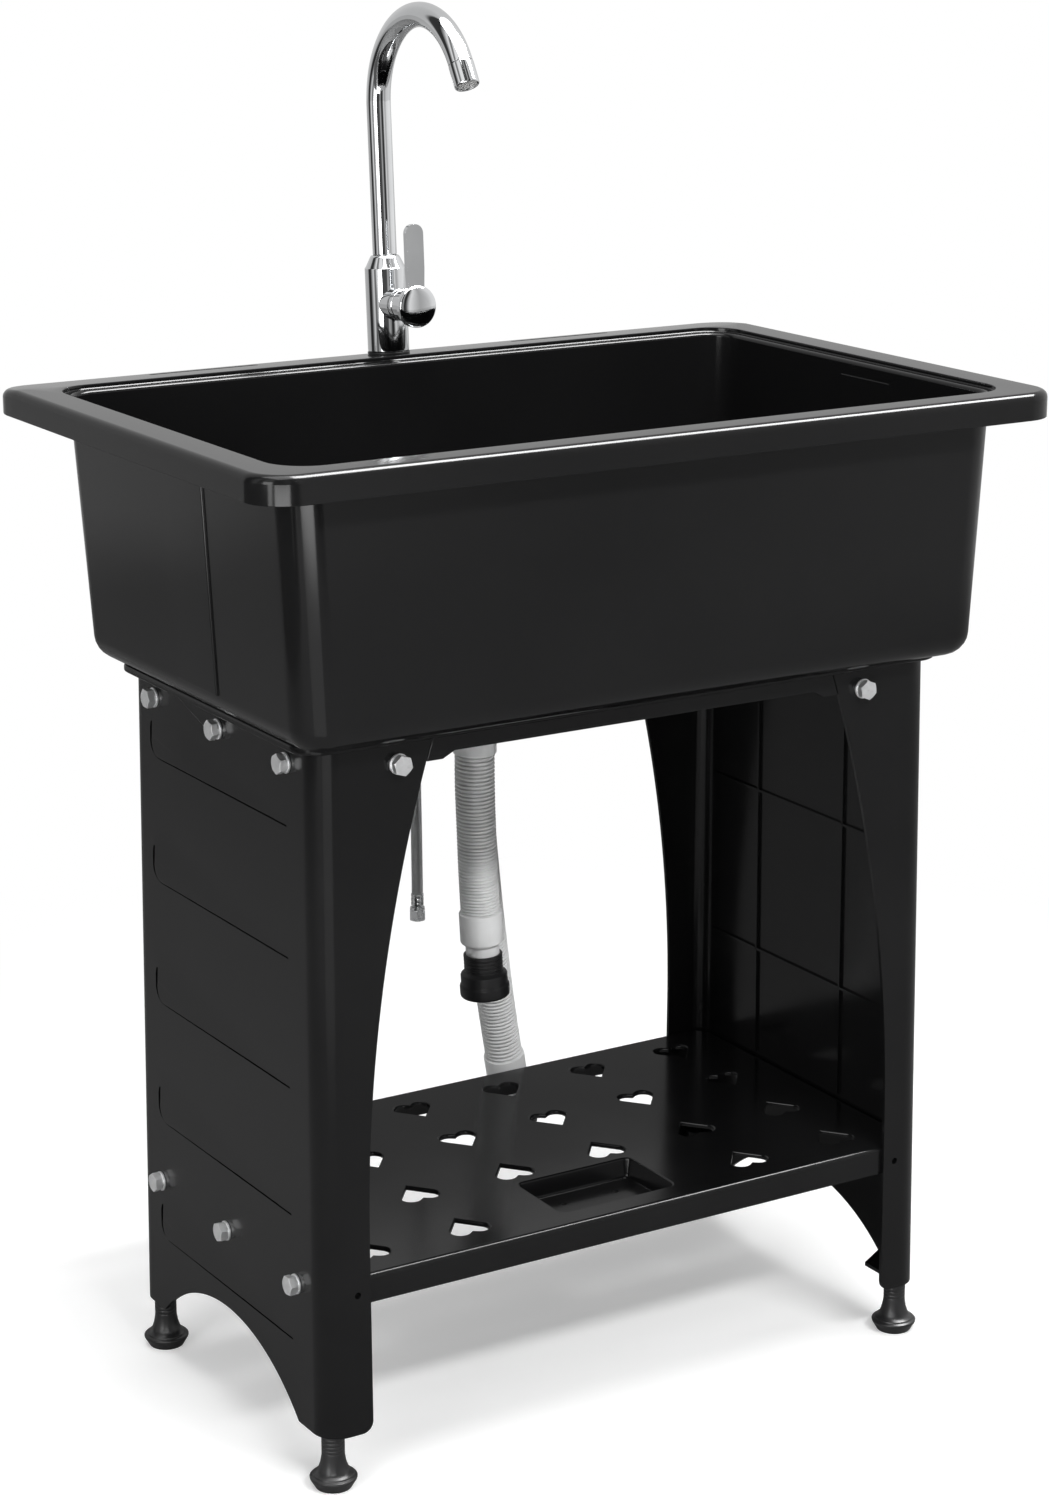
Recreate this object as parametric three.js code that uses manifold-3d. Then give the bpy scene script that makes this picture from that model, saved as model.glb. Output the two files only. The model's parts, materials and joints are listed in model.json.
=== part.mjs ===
// A utility laundry sink: a moulded tub on a bolted plastic stand, with a swivel tap, a lift-out
// strainer, two ribbed drain hoses, a braided supply hose and four levelling feet.
// Millimetres. X runs from left to right, Y from front to back, Z up. While it is built, the
// middle of the stand is the origin; the whole is centred on the floor at the end.

import * as THREE from 'three';
import { mergeVertices } from 'three/addons/utils/BufferGeometryUtils.js';
import Module from 'manifold-3d';

const wasm = await Module();
wasm.setup();

// ---------------------------------------------------------------- driving dimensions

const FIT = 0.3; // gap between pieces that touch or run on each other

// Tub: one moulding, rim and basin
const RIM_TOP = 780;
const RIM_LENGTH = 678.6;
const RIM_FRONT = 215; // from the middle of the stand to the front edge
const RIM_BACK = 240;
const RIM_CORNER = 30;
const RIM_EDGE = 6; // rounding of the rim's upper edge
const SKIRT_DROP = 20.8;
const TUB_WALL = 3.5;
const BASIN_LENGTH = 602.8;
const BASIN_FRONT = 181.9;
const BASIN_BACK = 188;
const BASIN_CORNER = 22.5;
const BASIN_MOUTH = 3; // rounding at the basin's upper edge
const FLOOR_FILLET = 14;
const LEDGE_WIDTH = 8; // rabbet all round the basin
const LEDGE_DEPTH = 3.5;
const END_DRAFT = 3.1; // degrees
const FRONT_DRAFT = 0.75;
const BACK_DRAFT = 2.6;
const DECK_FALL = 4.4; // degrees by which the tap deck falls to the back
const DECK_SLOT_LENGTH = 95;
const DECK_SLOT_WIDTH = 5;
const DECK_SLOT_DEPTH = 1.2;
const DECK_SLOT_X = 165;
const DECK_SLOT_Y = 225;
const PILASTER_WIDTH = 66; // raised panel on each end wall of the tub
const PILASTER_PROUD = 1.5;

// Upper frame, on which the tub stands
const FRAME_TOP = 573;
const FRAME_PLATE = 6;
const FRAME_LIP_X = 8; // how far the plate pokes past the end panels
const FRAME_LIP_Y = 3.5; // and past the wings
const FRAME_WALL = 3;
const FRAME_SKIRT = 31; // depth of the skirt behind the wings
const RAIL_DEPTH = 12; // depth of the rail between the wings
const RAIL_STEP = 5; // how much lower it is beside the wings
const RAIL_STEP_X = 158;
const FRAME_OPENING_X = 228; // half length of the opening under the tub
const FRAME_OPENING_FRONT = 118;
const FRAME_OPENING_BACK = 130;
const FRAME_OPENING_CORNER = 15;
const FRAME_RIB = 14; // depth of the lip round the opening
const CROSSBAR_X = 95;
const CROSSBAR_WIDTH = 14;

// End panels: one moulding used twice, the second turned half round
const PANEL_X = 271; // outer face, at the height of the upper bolts
const PANEL_Y = 151.6; // outer face of the wings, at the same height
const PANEL_SPLAY_X = 0.433; // degrees
const PANEL_SPLAY_Y = 0.736;
const PANEL_BOTTOM = 44;
const PANEL_WALL = 3;
const PANEL_CORNER = 20;
const WING_FOOT_X = 235; // free edge of the wings, where it runs upright
const WING_BEND_Z = 200; // above this the edge curves in
const WING_RADIUS = 1180;
const WING_TOE = 9; // rounding at the wing's foot
const ARCH_RADIUS = 164;
const ARCH_TOP = 91;
const LOUVRE_LOWEST = 108.5;
const LOUVRE_BELOW_BOLTS = 46.3; // from the upper bolts down to the foot of the highest louvre
const LOUVRE_COUNT = 5;
const LOUVRE_BACK_Y = 113;
const LOUVRE_LENGTH = 228;
const LOUVRE_RISE = 34;
const LOUVRE_PROUD = 2;
const LOUVRE_CORNER = 11;
const PANEL_RIB_HEIGHT = 2.2;
const PANEL_RIB_WIDTH = 2;
const PANEL_RIB_PITCH = 141;
const PANEL_RIBS_Y = [-71, 47];

// Feet and their corner sockets
const FOOT_X = 261;
const FOOT_Y = 142.6;
const FOOT_COLUMN = 8.75; // radius
const FOOT_DISC = 17.9; // radius
const FOOT_COLUMN_TOP = 74;
const SOCKET_WALL = 2.4;
const SOCKET_ROOF = 3;
const CORNER_PLATE_Z = 55;
const CORNER_PLATE = 3;

// Shelf
const SHELF_TOP = 167.8;
const SHELF_SKIRT = 22.4;
const SHELF_WALL = 3;
const SHELF_EDGE = 4;
const HEART_PITCH_X = 86;
const HEART_PITCH_Y = 75;
const HEART_COLUMNS = 6;
const HEART_ROWS = 4;
const HEART_WIDTH = 26.5;
const HEART_LENGTH = 24;
const TRAY_X = -1;
const TRAY_Y = -97;
const TRAY_LENGTH = 104;
const TRAY_WIDTH = 66;
const TRAY_DEPTH = 15;
const TRAY_CORNER = 6;
const TRAY_DRAFT = 2.5;
const TRAY_HOLE = 3; // radius of its two drain holes

// Bolts
const BOLT_SHANK = 3.9; // radius
const BOLT_LENGTH = 18;
const BOLT_FLATS = 13;
const BOLT_HEAD = 5;
const WASHER = 7.9; // radius
const WASHER_THICK = 3.2; // a flat and a spring washer
const BOLT_HOLE = 4.5;
const BOLT_BOSS = 15; // across the flats of the boss that holds the captive nut
const BOLT_BOSS_LENGTH = 8;
const UPPER_BOLT_Z = 552;
const LOWER_BOLT_Z = 155;
const UPPER_BOLT_Y = 107.6;
const LOWER_BOLT_Y = 114.2;
const WING_BOLT_X = 204.7;
const SPARE_HOLE_X = 245.9;
const SPARE_HOLE = 2.6;

// Waste strainer
const DRAIN_Y = 88.5;
const DRAIN_HOLE = 29; // radius in the tub's floor
const FLANGE_RADIUS = 38;
const FLANGE_SEAT = 1.2; // depth of the flange's recess
const FLANGE_PROUD = 0.6; // height of the flange above the basin's floor
const FLANGE_BEVEL = 2;
const CUP_RADIUS = 26.2;
const CUP_DEPTH = 28.5;
const CUP_WALL = 1.6;
const TAIL_RADIUS = 18;
const TAIL_BORE = 15;
const TAIL_LENGTH = 12;
const WASTE_SEAL_WIDTH = 7; // how far the seal reaches past the drain hole
const WASTE_SEAL_THICK = 2;
const WASTE_NUT_WIDTH = 5.5; // how far the nut reaches past the drain hole
const WASTE_NUT_HEIGHT = 8;
const NUT_LUG_LENGTH = 8;
const NUT_LUG_WIDTH = 5;
const NUT_LUG_HEIGHT = 6;
const BASKET_DEPTH = 16;
const BASKET_WALL = 1;
const BASKET_GAP = 1.4; // between the basket and the cup
const BASKET_LIP = 1.6; // how far the basket's lip reaches over the flange
const BASKET_CORNER = 5;
const BASKET_HOLES = 6;
const BASKET_HOLE = 2.2; // radius
const KNOB_RADIUS = 5.5;
const KNOB_STEM = 2.2; // radius

// Twin outlet and drain hoses
const OUTLET_DIRECTION = 60; // degrees from X, the line through its two spigots
const OUTLET_SPREAD = 46.9;
const OUTLET_RADIUS = 17;
const OUTLET_WALL = 3;
const OUTLET_HEIGHT = 24;
const SPIGOT_RADIUS = 13;
const SPIGOT_BORE = 10.5;
const SPIGOT_LENGTH = 24;
const COLLAR_RADIUS = 17.5;
const COLLAR_LENGTH = 30.7;
const HOSE_RADIUS = 16;
const HOSE_VALLEY = 14.7;
const HOSE_BORE = 12.6;
const FRONT_RIB_PITCH = 3;
const REAR_RIB_PITCH = 3.6;
const SLEEVE_LENGTH = 28;
const NECK_RADIUS = 13.7;
const NECK_VISIBLE = 8;
const NECK_HIDDEN = 10;
const ADAPTER_LENGTH = 36;
const ADAPTER_RADIUS = 20.2;

// Tap
const TAP_Y = 222;
const TAP_LEAN = 3.6; // degrees by which the tap leans back
const TAP_RADIUS = 16.7;
const TAP_SHOULDER_Z = 69.6;
const TAP_TOP = 79;
const TAP_BORE = 6;
const SPOUT_RADIUS = 9.7;
const SPOUT_WALL = 1.2;
const SPOUT_TAIL = 8; // radius of the part that turns in the body
const SPOUT_TAIL_LENGTH = 18;
const SPOUT_STRAIGHT = 197.5; // height at which the bend begins
const SPOUT_BEND = 70;
const SPOUT_SWEEP = 152.5; // degrees
const BEARING_WALL = 1.1;
const AERATOR_LENGTH = 19;
const AERATOR_RADIUS = 9.9;
const AERATOR_WALL = 1.5;
const VALVE_Z = 40.3;
const BARREL_RADIUS = 13;
const BARREL_LENGTH = 24;
const BONNET_RADIUS = 12.5;
const BONNET_LENGTH = 21;
const CARTRIDGE_RADIUS = 9.3;
const CARTRIDGE_START = 4.5;
const CARTRIDGE_LENGTH = 27;
const STEM_RADIUS = 4;
const STEM_LENGTH = 18;
const CAP_RADIUS = 16.7;
const CAP_LENGTH = 8;
const CAP_CROWN = 3;
const LEVER_WIDTH = 15.6;
const LEVER_THICK = 4.5;
const LEVER_TOP = 65;
const SET_SCREW = 2;
const BASE_RING = 1.6;
const SHANK_RADIUS = 10;
const SHANK_BORE = 6;
const SHANK_LENGTH = 40;
const SHANK_WASHER = 12.8;
const SHANK_WASHER_THICK = 3;
const SHANK_NUT = 23.2; // across flats
const SHANK_NUT_THICK = 9;

// Supply hose
const SUPPLY_RADIUS = 4.75;
const FERRULE_RADIUS = 5.3;
const FERRULE_LENGTH = 14;
const UNION_FLATS = 12.6;
const UNION_LENGTH = 9;
const SUPPLY_TAIL_LENGTH = 24;

// Facets
const CORNER_STEPS = 4;
const ROUND = 20; // sides of the larger turned pieces
const SMALL_ROUND = 12;
const SPOUT_SIDES = 12;
const HOSE_SIDES = 8;

// ---------------------------------------------------------------- materials

const plastic = (color, roughness) => new THREE.MeshStandardMaterial({ color, roughness, metalness: 0 });
const metal = (color, roughness) => new THREE.MeshStandardMaterial({ color, roughness, metalness: 1 });

const blackGloss = plastic(0x0c0c0d, 0.28);
const blackSatin = plastic(0x101011, 0.42);
const blackRubber = plastic(0x0b0b0b, 0.7);
const whitePlastic = plastic(0xd9dad8, 0.45);
const hosePlastic = plastic(0xc8cac9, 0.5);
const greyPlastic = plastic(0x8b8d8f, 0.5);
const chrome = metal(0xd8dadc, 0.06);
const zinc = metal(0xb9bcbf, 0.3);
const stainless = metal(0xb4b6b8, 0.22);
const brass = metal(0xb59a55, 0.35);

// ---------------------------------------------------------------- geometry helpers

const radians = THREE.MathUtils.degToRad;
const point = (x, y, z) => new THREE.Vector3(x, y, z);

// Keeps positions only, welds them, drops empty triangles and turns the faces out.
function closed(geometry) {
  const bare = new THREE.BufferGeometry();
  bare.setAttribute('position', geometry.getAttribute('position'));
  if (geometry.index) bare.setIndex(geometry.index);
  const welded = mergeVertices(bare, 1e-4);
  const places = welded.getAttribute('position');
  const index = [];
  let volume = 0;
  const [a, b, c] = [point(), point(), point()];
  for (let i = 0; i < welded.index.count; i += 3) {
    const corner = [0, 1, 2].map((k) => welded.index.getX(i + k));
    if (new Set(corner).size < 3) continue;
    a.fromBufferAttribute(places, corner[0]);
    b.fromBufferAttribute(places, corner[1]);
    c.fromBufferAttribute(places, corner[2]);
    volume += a.dot(b.cross(c));
    index.push(...corner);
  }
  if (volume < 0) index.reverse();
  welded.setIndex(index);
  return welded;
}

function solid(geometry) {
  const skin = closed(geometry);
  const vertProperties = new Float32Array(skin.getAttribute('position').array);
  const triVerts = new Uint32Array(skin.index.array);
  return new wasm.Manifold(new wasm.Mesh({ numProp: 3, vertProperties, triVerts }));
}

function geometryOf(body) {
  const mesh = body.getMesh();
  const geometry = new THREE.BufferGeometry();
  geometry.setAttribute('position', new THREE.BufferAttribute(mesh.vertProperties, 3));
  geometry.setIndex(new THREE.BufferAttribute(mesh.triVerts, 1));
  return geometry;
}

const fuse = (first, ...others) => others.reduce((body, other) => body.add(other), first);
const carve = (first, ...others) => others.reduce((body, other) => body.subtract(other), first);

// Joins rings of equally many points, one after the other; the ends are closed or meet.
function loft(rings, meet = false) {
  const sides = rings[0].length;
  const index = [];
  const last = meet ? rings.length : rings.length - 1;
  for (let i = 0; i < last; i++) {
    const next = (i + 1) % rings.length;
    for (let j = 0; j < sides; j++) {
      const k = (j + 1) % sides;
      const [a, b, c, d] = [i * sides + j, i * sides + k, next * sides + k, next * sides + j];
      index.push(a, b, c, a, c, d);
    }
  }
  if (!meet) {
    const end = (rings.length - 1) * sides;
    for (let j = 1; j < sides - 1; j++) index.push(0, j + 1, j, end, end + j, end + j + 1);
  }
  const geometry = new THREE.BufferGeometry().setFromPoints(rings.flat());
  geometry.setIndex(index);
  return geometry;
}

// A level ring: a rectangle with round corners, from x = -halfX to halfX and y = -front to back.
function roundedRing(halfX, front, back, radius, z, extraY = []) {
  const ring = [];
  const corner = (x, y, from) => {
    for (let i = 0; i <= CORNER_STEPS; i++) {
      const angle = radians(from + (90 * i) / CORNER_STEPS);
      ring.push(point(x + radius * Math.cos(angle), y + radius * Math.sin(angle), z));
    }
  };
  corner(halfX - radius, radius - front, -90);
  for (const y of extraY) ring.push(point(halfX, y, z));
  corner(halfX - radius, back - radius, 0);
  corner(radius - halfX, back - radius, 90);
  for (const y of [...extraY].reverse()) ring.push(point(-halfX, y, z));
  corner(radius - halfX, radius - front, 180);
  return ring;
}

function outline(points) {
  return new THREE.Shape(points.map(([x, y]) => new THREE.Vector2(x, y)));
}

// A prism with its outline seen from above, from the front or from the side.
function prismZ(points, low, high) {
  const geometry = new THREE.ExtrudeGeometry(outline(points), { depth: high - low, bevelEnabled: false });
  return solid(geometry.translate(0, 0, low));
}

function prismY(points, low, high) {
  const geometry = new THREE.ExtrudeGeometry(outline(points), { depth: high - low, bevelEnabled: false });
  const basis = new THREE.Matrix4().makeBasis(point(1, 0, 0), point(0, 0, 1), point(0, -1, 0));
  return solid(geometry.applyMatrix4(basis).translate(0, high, 0));
}

function box(low, high) {
  const size = high.map((value, i) => value - low[i]);
  const middle = high.map((value, i) => (value + low[i]) / 2);
  return solid(new THREE.BoxGeometry(...size).translate(...middle));
}

// A turned piece about Z. The profile's pairs are radius and height.
function turned(profile, sides = ROUND) {
  const points = profile.map(([radius, height]) => new THREE.Vector2(radius, height));
  return new THREE.LatheGeometry(points, sides).rotateX(Math.PI / 2);
}

// A turned piece with a hole through it: the profile closes on itself.
const turnedRing = (profile, sides) => turned([...profile, profile[0]], sides);

const rod = (radius, low, high, sides = ROUND) =>
  turned([[0, low], [radius, low], [radius, high], [0, high]], sides);
const tube = (inner, outer, low, high, sides) =>
  turnedRing([[inner, low], [outer, low], [outer, high], [inner, high]], sides);
const hexagon = (flats, low, high) =>
  rod(flats / Math.sqrt(3), low, high, 6);

const alongX = (geometry, sign = 1) => geometry.rotateY((sign * Math.PI) / 2);
const alongY = (geometry, sign = 1) => geometry.rotateX((-sign * Math.PI) / 2);

const sink = new THREE.Group();
const stand = new THREE.Group(); // everything that sits square to the floor
const tap = new THREE.Group(); // leans back with the deck
sink.add(stand, tap);

function piece(name, shape, material, parent = stand) {
  const geometry = closed(shape.isBufferGeometry ? shape : geometryOf(shape));
  geometry.computeVertexNormals();
  const mesh = new THREE.Mesh(geometry, material);
  mesh.name = name;
  parent.add(mesh);
  return mesh;
}

// ---------------------------------------------------------------- shared places

const tubBottom = FRAME_TOP + FIT;
const floorTop = tubBottom + TUB_WALL;
const frameUnder = FRAME_TOP - FRAME_PLATE;
const panelTop = frameUnder - FIT;
const deckStart = BASIN_BACK + LEDGE_WIDTH;
const deckZ = (y) => RIM_TOP - (y - deckStart) * Math.tan(radians(DECK_FALL));

// Outer faces of the end panels at a height
const panelX = (z) => PANEL_X + (UPPER_BOLT_Z - z) * Math.tan(radians(PANEL_SPLAY_X));
const panelY = (z) => PANEL_Y + (UPPER_BOLT_Z - z) * Math.tan(radians(PANEL_SPLAY_Y));

// Free edge of a wing at a height
function wingEdge(z) {
  const rise = Math.max(z - WING_BEND_Z, 0);
  return WING_FOOT_X - WING_RADIUS + Math.sqrt(WING_RADIUS ** 2 - rise ** 2);
}

tap.position.set(0, TAP_Y, deckZ(TAP_Y));
tap.rotation.x = -radians(TAP_LEAN);

// ---------------------------------------------------------------- tub

// Ring on the basin's wall; out is how far it lies outside the inner face.
function basinRing(z, out, inset = 0) {
  const drop = RIM_TOP - z;
  const halfX = BASIN_LENGTH / 2 - drop * Math.tan(radians(END_DRAFT)) + out - inset;
  const front = BASIN_FRONT - drop * Math.tan(radians(FRONT_DRAFT)) + out - inset;
  const back = BASIN_BACK - drop * Math.tan(radians(BACK_DRAFT)) + out - inset;
  const radius = Math.max(BASIN_CORNER + out - inset, 1);
  return roundedRing(halfX, front, back, radius, z, [Math.min(deckStart, back - radius - 1)]);
}

// Ring on the rim; inside is how far it lies inside the outer face.
function rimRing(z, inside) {
  const back = RIM_BACK - inside;
  const radius = Math.max(RIM_CORNER - inside, 2);
  const y = Math.min(deckStart, back - radius - 1);
  return roundedRing(RIM_LENGTH / 2 - inside, RIM_FRONT - inside, back, radius, z, [y]);
}

// Quarter round from one inset and height to another, as pairs of inset and height
function quarter(radius, steps, make) {
  return Array.from({ length: steps + 1 }, (_, i) => {
    const angle = radians((90 * i) / steps);
    return make(radius * (1 - Math.cos(angle)), radius * (1 - Math.sin(angle)));
  });
}

function makeTub() {
  const outerFillet = FLOOR_FILLET + TUB_WALL;
  const skirtBottom = RIM_TOP - SKIRT_DROP;
  const underRim = RIM_TOP - TUB_WALL;
  const ledge = RIM_TOP - LEDGE_DEPTH;
  const rings = [
    ...quarter(outerFillet, 3, (a, b) => basinRing(tubBottom + a, TUB_WALL, b)),
    basinRing(underRim - 9, TUB_WALL),
    basinRing(underRim - 5, TUB_WALL + 2),
    basinRing(underRim, TUB_WALL + LEDGE_WIDTH),
    rimRing(underRim, TUB_WALL + RIM_EDGE / 4),
    rimRing(underRim - RIM_EDGE / 4, TUB_WALL),
    rimRing(skirtBottom, TUB_WALL),
    rimRing(skirtBottom, 0.6),
    rimRing(skirtBottom + 0.6, 0),
    ...quarter(RIM_EDGE, 3, (a, b) => rimRing(RIM_TOP - b, a)),
    basinRing(RIM_TOP, LEDGE_WIDTH + 0.8),
    basinRing(RIM_TOP - 0.8, LEDGE_WIDTH),
    basinRing(ledge, LEDGE_WIDTH),
    basinRing(ledge, BASIN_MOUTH),
    basinRing(ledge - BASIN_MOUTH * 0.3, BASIN_MOUTH * 0.3),
    basinRing(ledge - BASIN_MOUTH, 0),
    ...quarter(FLOOR_FILLET, 3, (a, b) => basinRing(floorTop + a, 0, b)).reverse(),
  ];
  // The deck falls to the back; the skirt's lower edge stays level.
  for (const place of rings.flat()) {
    if (place.y <= deckStart || place.z <= skirtBottom + 1) continue;
    const share = Math.min((place.z - skirtBottom) / (SKIRT_DROP - TUB_WALL - RIM_EDGE / 4), 1);
    place.z -= (place.y - deckStart) * Math.tan(radians(DECK_FALL)) * share;
  }
  let body = solid(loft(rings));

  for (const side of [-1, 1]) {
    const half = PILASTER_WIDTH / 2;
    const low = tubBottom + outerFillet;
    const high = RIM_TOP - SKIRT_DROP + 6;
    const face = (z, out) => side * (BASIN_LENGTH / 2 - (RIM_TOP - z) * Math.tan(radians(END_DRAFT)) + out);
    const ring = (z) => [
      point(face(z, TUB_WALL / 2), -half, z),
      point(face(z, TUB_WALL + PILASTER_PROUD), PILASTER_PROUD - half, z),
      point(face(z, TUB_WALL + PILASTER_PROUD), half - PILASTER_PROUD, z),
      point(face(z, TUB_WALL / 2), half, z),
    ];
    body = fuse(body, solid(loft([ring(low), ring(high)])));

    const end = DECK_SLOT_LENGTH / 2 - DECK_SLOT_WIDTH / 2;
    const slot = new THREE.CapsuleGeometry(DECK_SLOT_WIDTH / 2, end * 2, 2, 10).rotateZ(Math.PI / 2);
    slot.scale(1, 1, DECK_SLOT_DEPTH / (DECK_SLOT_WIDTH / 2));
    slot.rotateX(-radians(DECK_FALL)).translate(side * DECK_SLOT_X, DECK_SLOT_Y, deckZ(DECK_SLOT_Y));
    body = carve(body, solid(slot));
  }

  const seat = rod(FLANGE_RADIUS + 1, floorTop - FLANGE_SEAT, floorTop + 5).translate(0, DRAIN_Y, 0);
  const hole = rod(DRAIN_HOLE, tubBottom - 5, floorTop + 5).translate(0, DRAIN_Y, 0);
  const tapHole = rod(SHANK_RADIUS + 1, -12, 12, SMALL_ROUND);
  tapHole.rotateX(-radians(TAP_LEAN)).translate(0, TAP_Y, deckZ(TAP_Y));
  return carve(body, solid(seat), solid(hole), solid(tapHole));
}

piece('tub', makeTub(), blackGloss);

// ---------------------------------------------------------------- bolts and their bosses

const seatOfUpperEnd = panelX(UPPER_BOLT_Z);
const seatOfLowerEnd = panelX(LOWER_BOLT_Z);
const seatOfWing = panelY(UPPER_BOLT_Z);

// Each bolt: name, place on the panel's outer face, and the way its head looks
const BOLTS = [];
for (const [end, sideX] of [['left', -1], ['right', 1]]) {
  for (const [where, sideY] of [['front', -1], ['middle', 0], ['rear', 1]]) {
    const upper = point(sideX * seatOfUpperEnd, sideY * UPPER_BOLT_Y, UPPER_BOLT_Z);
    const lower = point(sideX * seatOfLowerEnd, sideY * LOWER_BOLT_Y, LOWER_BOLT_Z);
    const facing = { out: point(sideX, 0, 0), tilt: PANEL_SPLAY_X };
    BOLTS.push({ name: `bolt_${end}_upper_${where}`, at: upper, ...facing });
    BOLTS.push({ name: `bolt_${end}_lower_${where}`, at: lower, ...facing });
  }
  for (const [where, sideY] of [['front', -1], ['rear', 1]]) {
    const at = point(sideX * WING_BOLT_X, sideY * seatOfWing, UPPER_BOLT_Z);
    BOLTS.push({ name: `bolt_wing_${where}_${end}`, at, out: point(0, sideY, 0), tilt: PANEL_SPLAY_Y });
  }
}

// A shape drawn about +Z from the seat outwards, turned to stand on the bolt's face
function onBoltFace(geometry, { at, out, tilt }) {
  const axis = out.clone().setZ(Math.tan(radians(tilt))).normalize();
  const turn = new THREE.Quaternion().setFromUnitVectors(point(0, 0, 1), axis);
  return geometry.applyQuaternion(turn).translate(at.x, at.y, at.z);
}

function makeBolt() {
  const washerTop = FIT + WASHER_THICK;
  return fuse(
    solid(rod(BOLT_SHANK, -BOLT_LENGTH, washerTop, 6)),
    solid(rod(WASHER, FIT, washerTop, 10)),
    solid(hexagon(BOLT_FLATS, washerTop, washerTop + BOLT_HEAD)),
  );
}

const boltShape = makeBolt();
for (const bolt of BOLTS) piece(bolt.name, onBoltFace(geometryOf(boltShape), bolt), zinc);

const boltHoles = (bolts) =>
  bolts.map((bolt) => solid(onBoltFace(rod(BOLT_HOLE, -BOLT_LENGTH - 4, 6, 8), bolt)));
const upperBolts = BOLTS.filter(({ at }) => at.z === UPPER_BOLT_Z);
const lowerBolts = BOLTS.filter(({ at }) => at.z === LOWER_BOLT_Z);

// Bosses with the captive nuts, on the inner side of a wall that lies this deep behind the seat
const boltBosses = (bolts, depth) =>
  bolts.map((bolt) => solid(onBoltFace(hexagon(BOLT_BOSS, -depth - BOLT_BOSS_LENGTH, -depth), bolt)));

// ---------------------------------------------------------------- end panels

const louvrePitch = (UPPER_BOLT_Z - LOUVRE_BELOW_BOLTS - LOUVRE_LOWEST) / (LOUVRE_COUNT - 1);

function makeEndPanel() {
  const block = (out, low, high) => {
    const ring = (z) =>
      roundedRing(panelX(z) + out, panelY(z) + out, panelY(z) + out, PANEL_CORNER + out, z);
    return solid(loft([ring(low), ring(high)]));
  };
  const outer = block(0, PANEL_BOTTOM, panelTop);
  const inner = block(-PANEL_WALL, PANEL_BOTTOM - 10, panelTop + 10);

  // Everything inwards of the wings' free edges, for a panel at the left end
  const toe = Array.from({ length: 5 }, (_, i) => {
    const angle = radians(-90 - (90 * i) / 4);
    const x = WING_FOOT_X + WING_TOE + WING_TOE * Math.cos(angle);
    return [-x, PANEL_BOTTOM + WING_TOE + WING_TOE * Math.sin(angle)];
  });
  const steps = 6;
  const edge = Array.from({ length: steps + 1 }, (_, i) => {
    const z = WING_BEND_Z + ((panelTop - WING_BEND_Z) * i) / steps;
    return [-wingEdge(z), z];
  });
  const over = panelTop + 20;
  const under = PANEL_BOTTOM - 20;
  const right = PANEL_X + 40;
  const between = prismY(
    [[right, under], [toe[0][0], under], ...toe, ...edge, [edge[steps][0], over], [right, over]],
    -PANEL_Y * 2, PANEL_Y * 2,
  );
  const archCentre = ARCH_TOP - ARCH_RADIUS;
  const arch = alongX(rod(ARCH_RADIUS, 0, PANEL_X + 40, 36), -1).translate(0, 0, archCentre);

  const louvres = Array.from({ length: LOUVRE_COUNT }, (_, i) =>
    makeLouvre(LOUVRE_LOWEST + i * louvrePitch));
  const holes = [-1, 1].map((side) =>
    solid(alongY(rod(SPARE_HOLE, 0, PANEL_Y + 20, 6), side).translate(-SPARE_HOLE_X, 0, LOWER_BOLT_Z)));

  let shell = carve(outer, inner);
  shell = fuse(shell, ...louvres, ...makePanelRibs(inner));
  shell = carve(shell, between, solid(arch), ...holes, ...boltHoles(BOLTS.filter(({ at }) => at.x < 0)));
  return carve(fuse(shell, ...[-1, 1].map((side) => makeSocket(outer, side))), ...footBores());
}

// A thin wedge, proud along its lower and back edges and fading out to the front and the top
function makeLouvre(z) {
  const places = [[LOUVRE_BACK_Y - LOUVRE_LENGTH, z]];
  for (let i = 0; i <= 4; i++) {
    const angle = radians(-90 + (90 * i) / 4);
    places.push([
      LOUVRE_BACK_Y - LOUVRE_CORNER + LOUVRE_CORNER * Math.cos(angle),
      z + LOUVRE_CORNER + LOUVRE_CORNER * Math.sin(angle),
    ]);
  }
  places.push([LOUVRE_BACK_Y, z + LOUVRE_RISE]);
  const proud = ([y, height]) =>
    LOUVRE_PROUD * (1 - (LOUVRE_BACK_Y - y) / LOUVRE_LENGTH - (height - z) / LOUVRE_RISE);
  const at = (place, out) => point(-panelX(place[1]) - out, place[0], place[1]);
  const outside = places.map((place) => at(place, Math.max(proud(place), 0)));
  const inside = places.map((place) => at(place, -PANEL_WALL / 2));
  return solid(loft([inside, outside]));
}

// Ribs that stand on the inner face of the end wall, clear of the shelf and the frame
function makePanelRibs(inner) {
  const low = SHELF_TOP + 4;
  const high = FRAME_TOP - FRAME_PLATE - FRAME_SKIRT - 2;
  const depth = PANEL_WALL / 2 + PANEL_RIB_HEIGHT;
  const face = (z) => -panelX(z) + PANEL_WALL / 2;
  const bar = (y0, y1, z0, z1) => solid(loft([z0, z1].map((z) => [
    point(face(z), y0, z), point(face(z) + depth, y0, z),
    point(face(z) + depth, y1, z), point(face(z), y1, z),
  ])));
  const half = PANEL_RIB_WIDTH / 2;
  const reach = panelY(low) - PANEL_CORNER;
  const uprights = PANEL_RIBS_Y.map((y) => bar(y - half, y + half, low, high));
  const levels = [1, 2].map((i) => {
    const z = LOWER_BOLT_Z - 31 + i * PANEL_RIB_PITCH;
    return bar(-reach, reach, z - half, z + half);
  });
  return [...uprights, ...levels];
}

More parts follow.
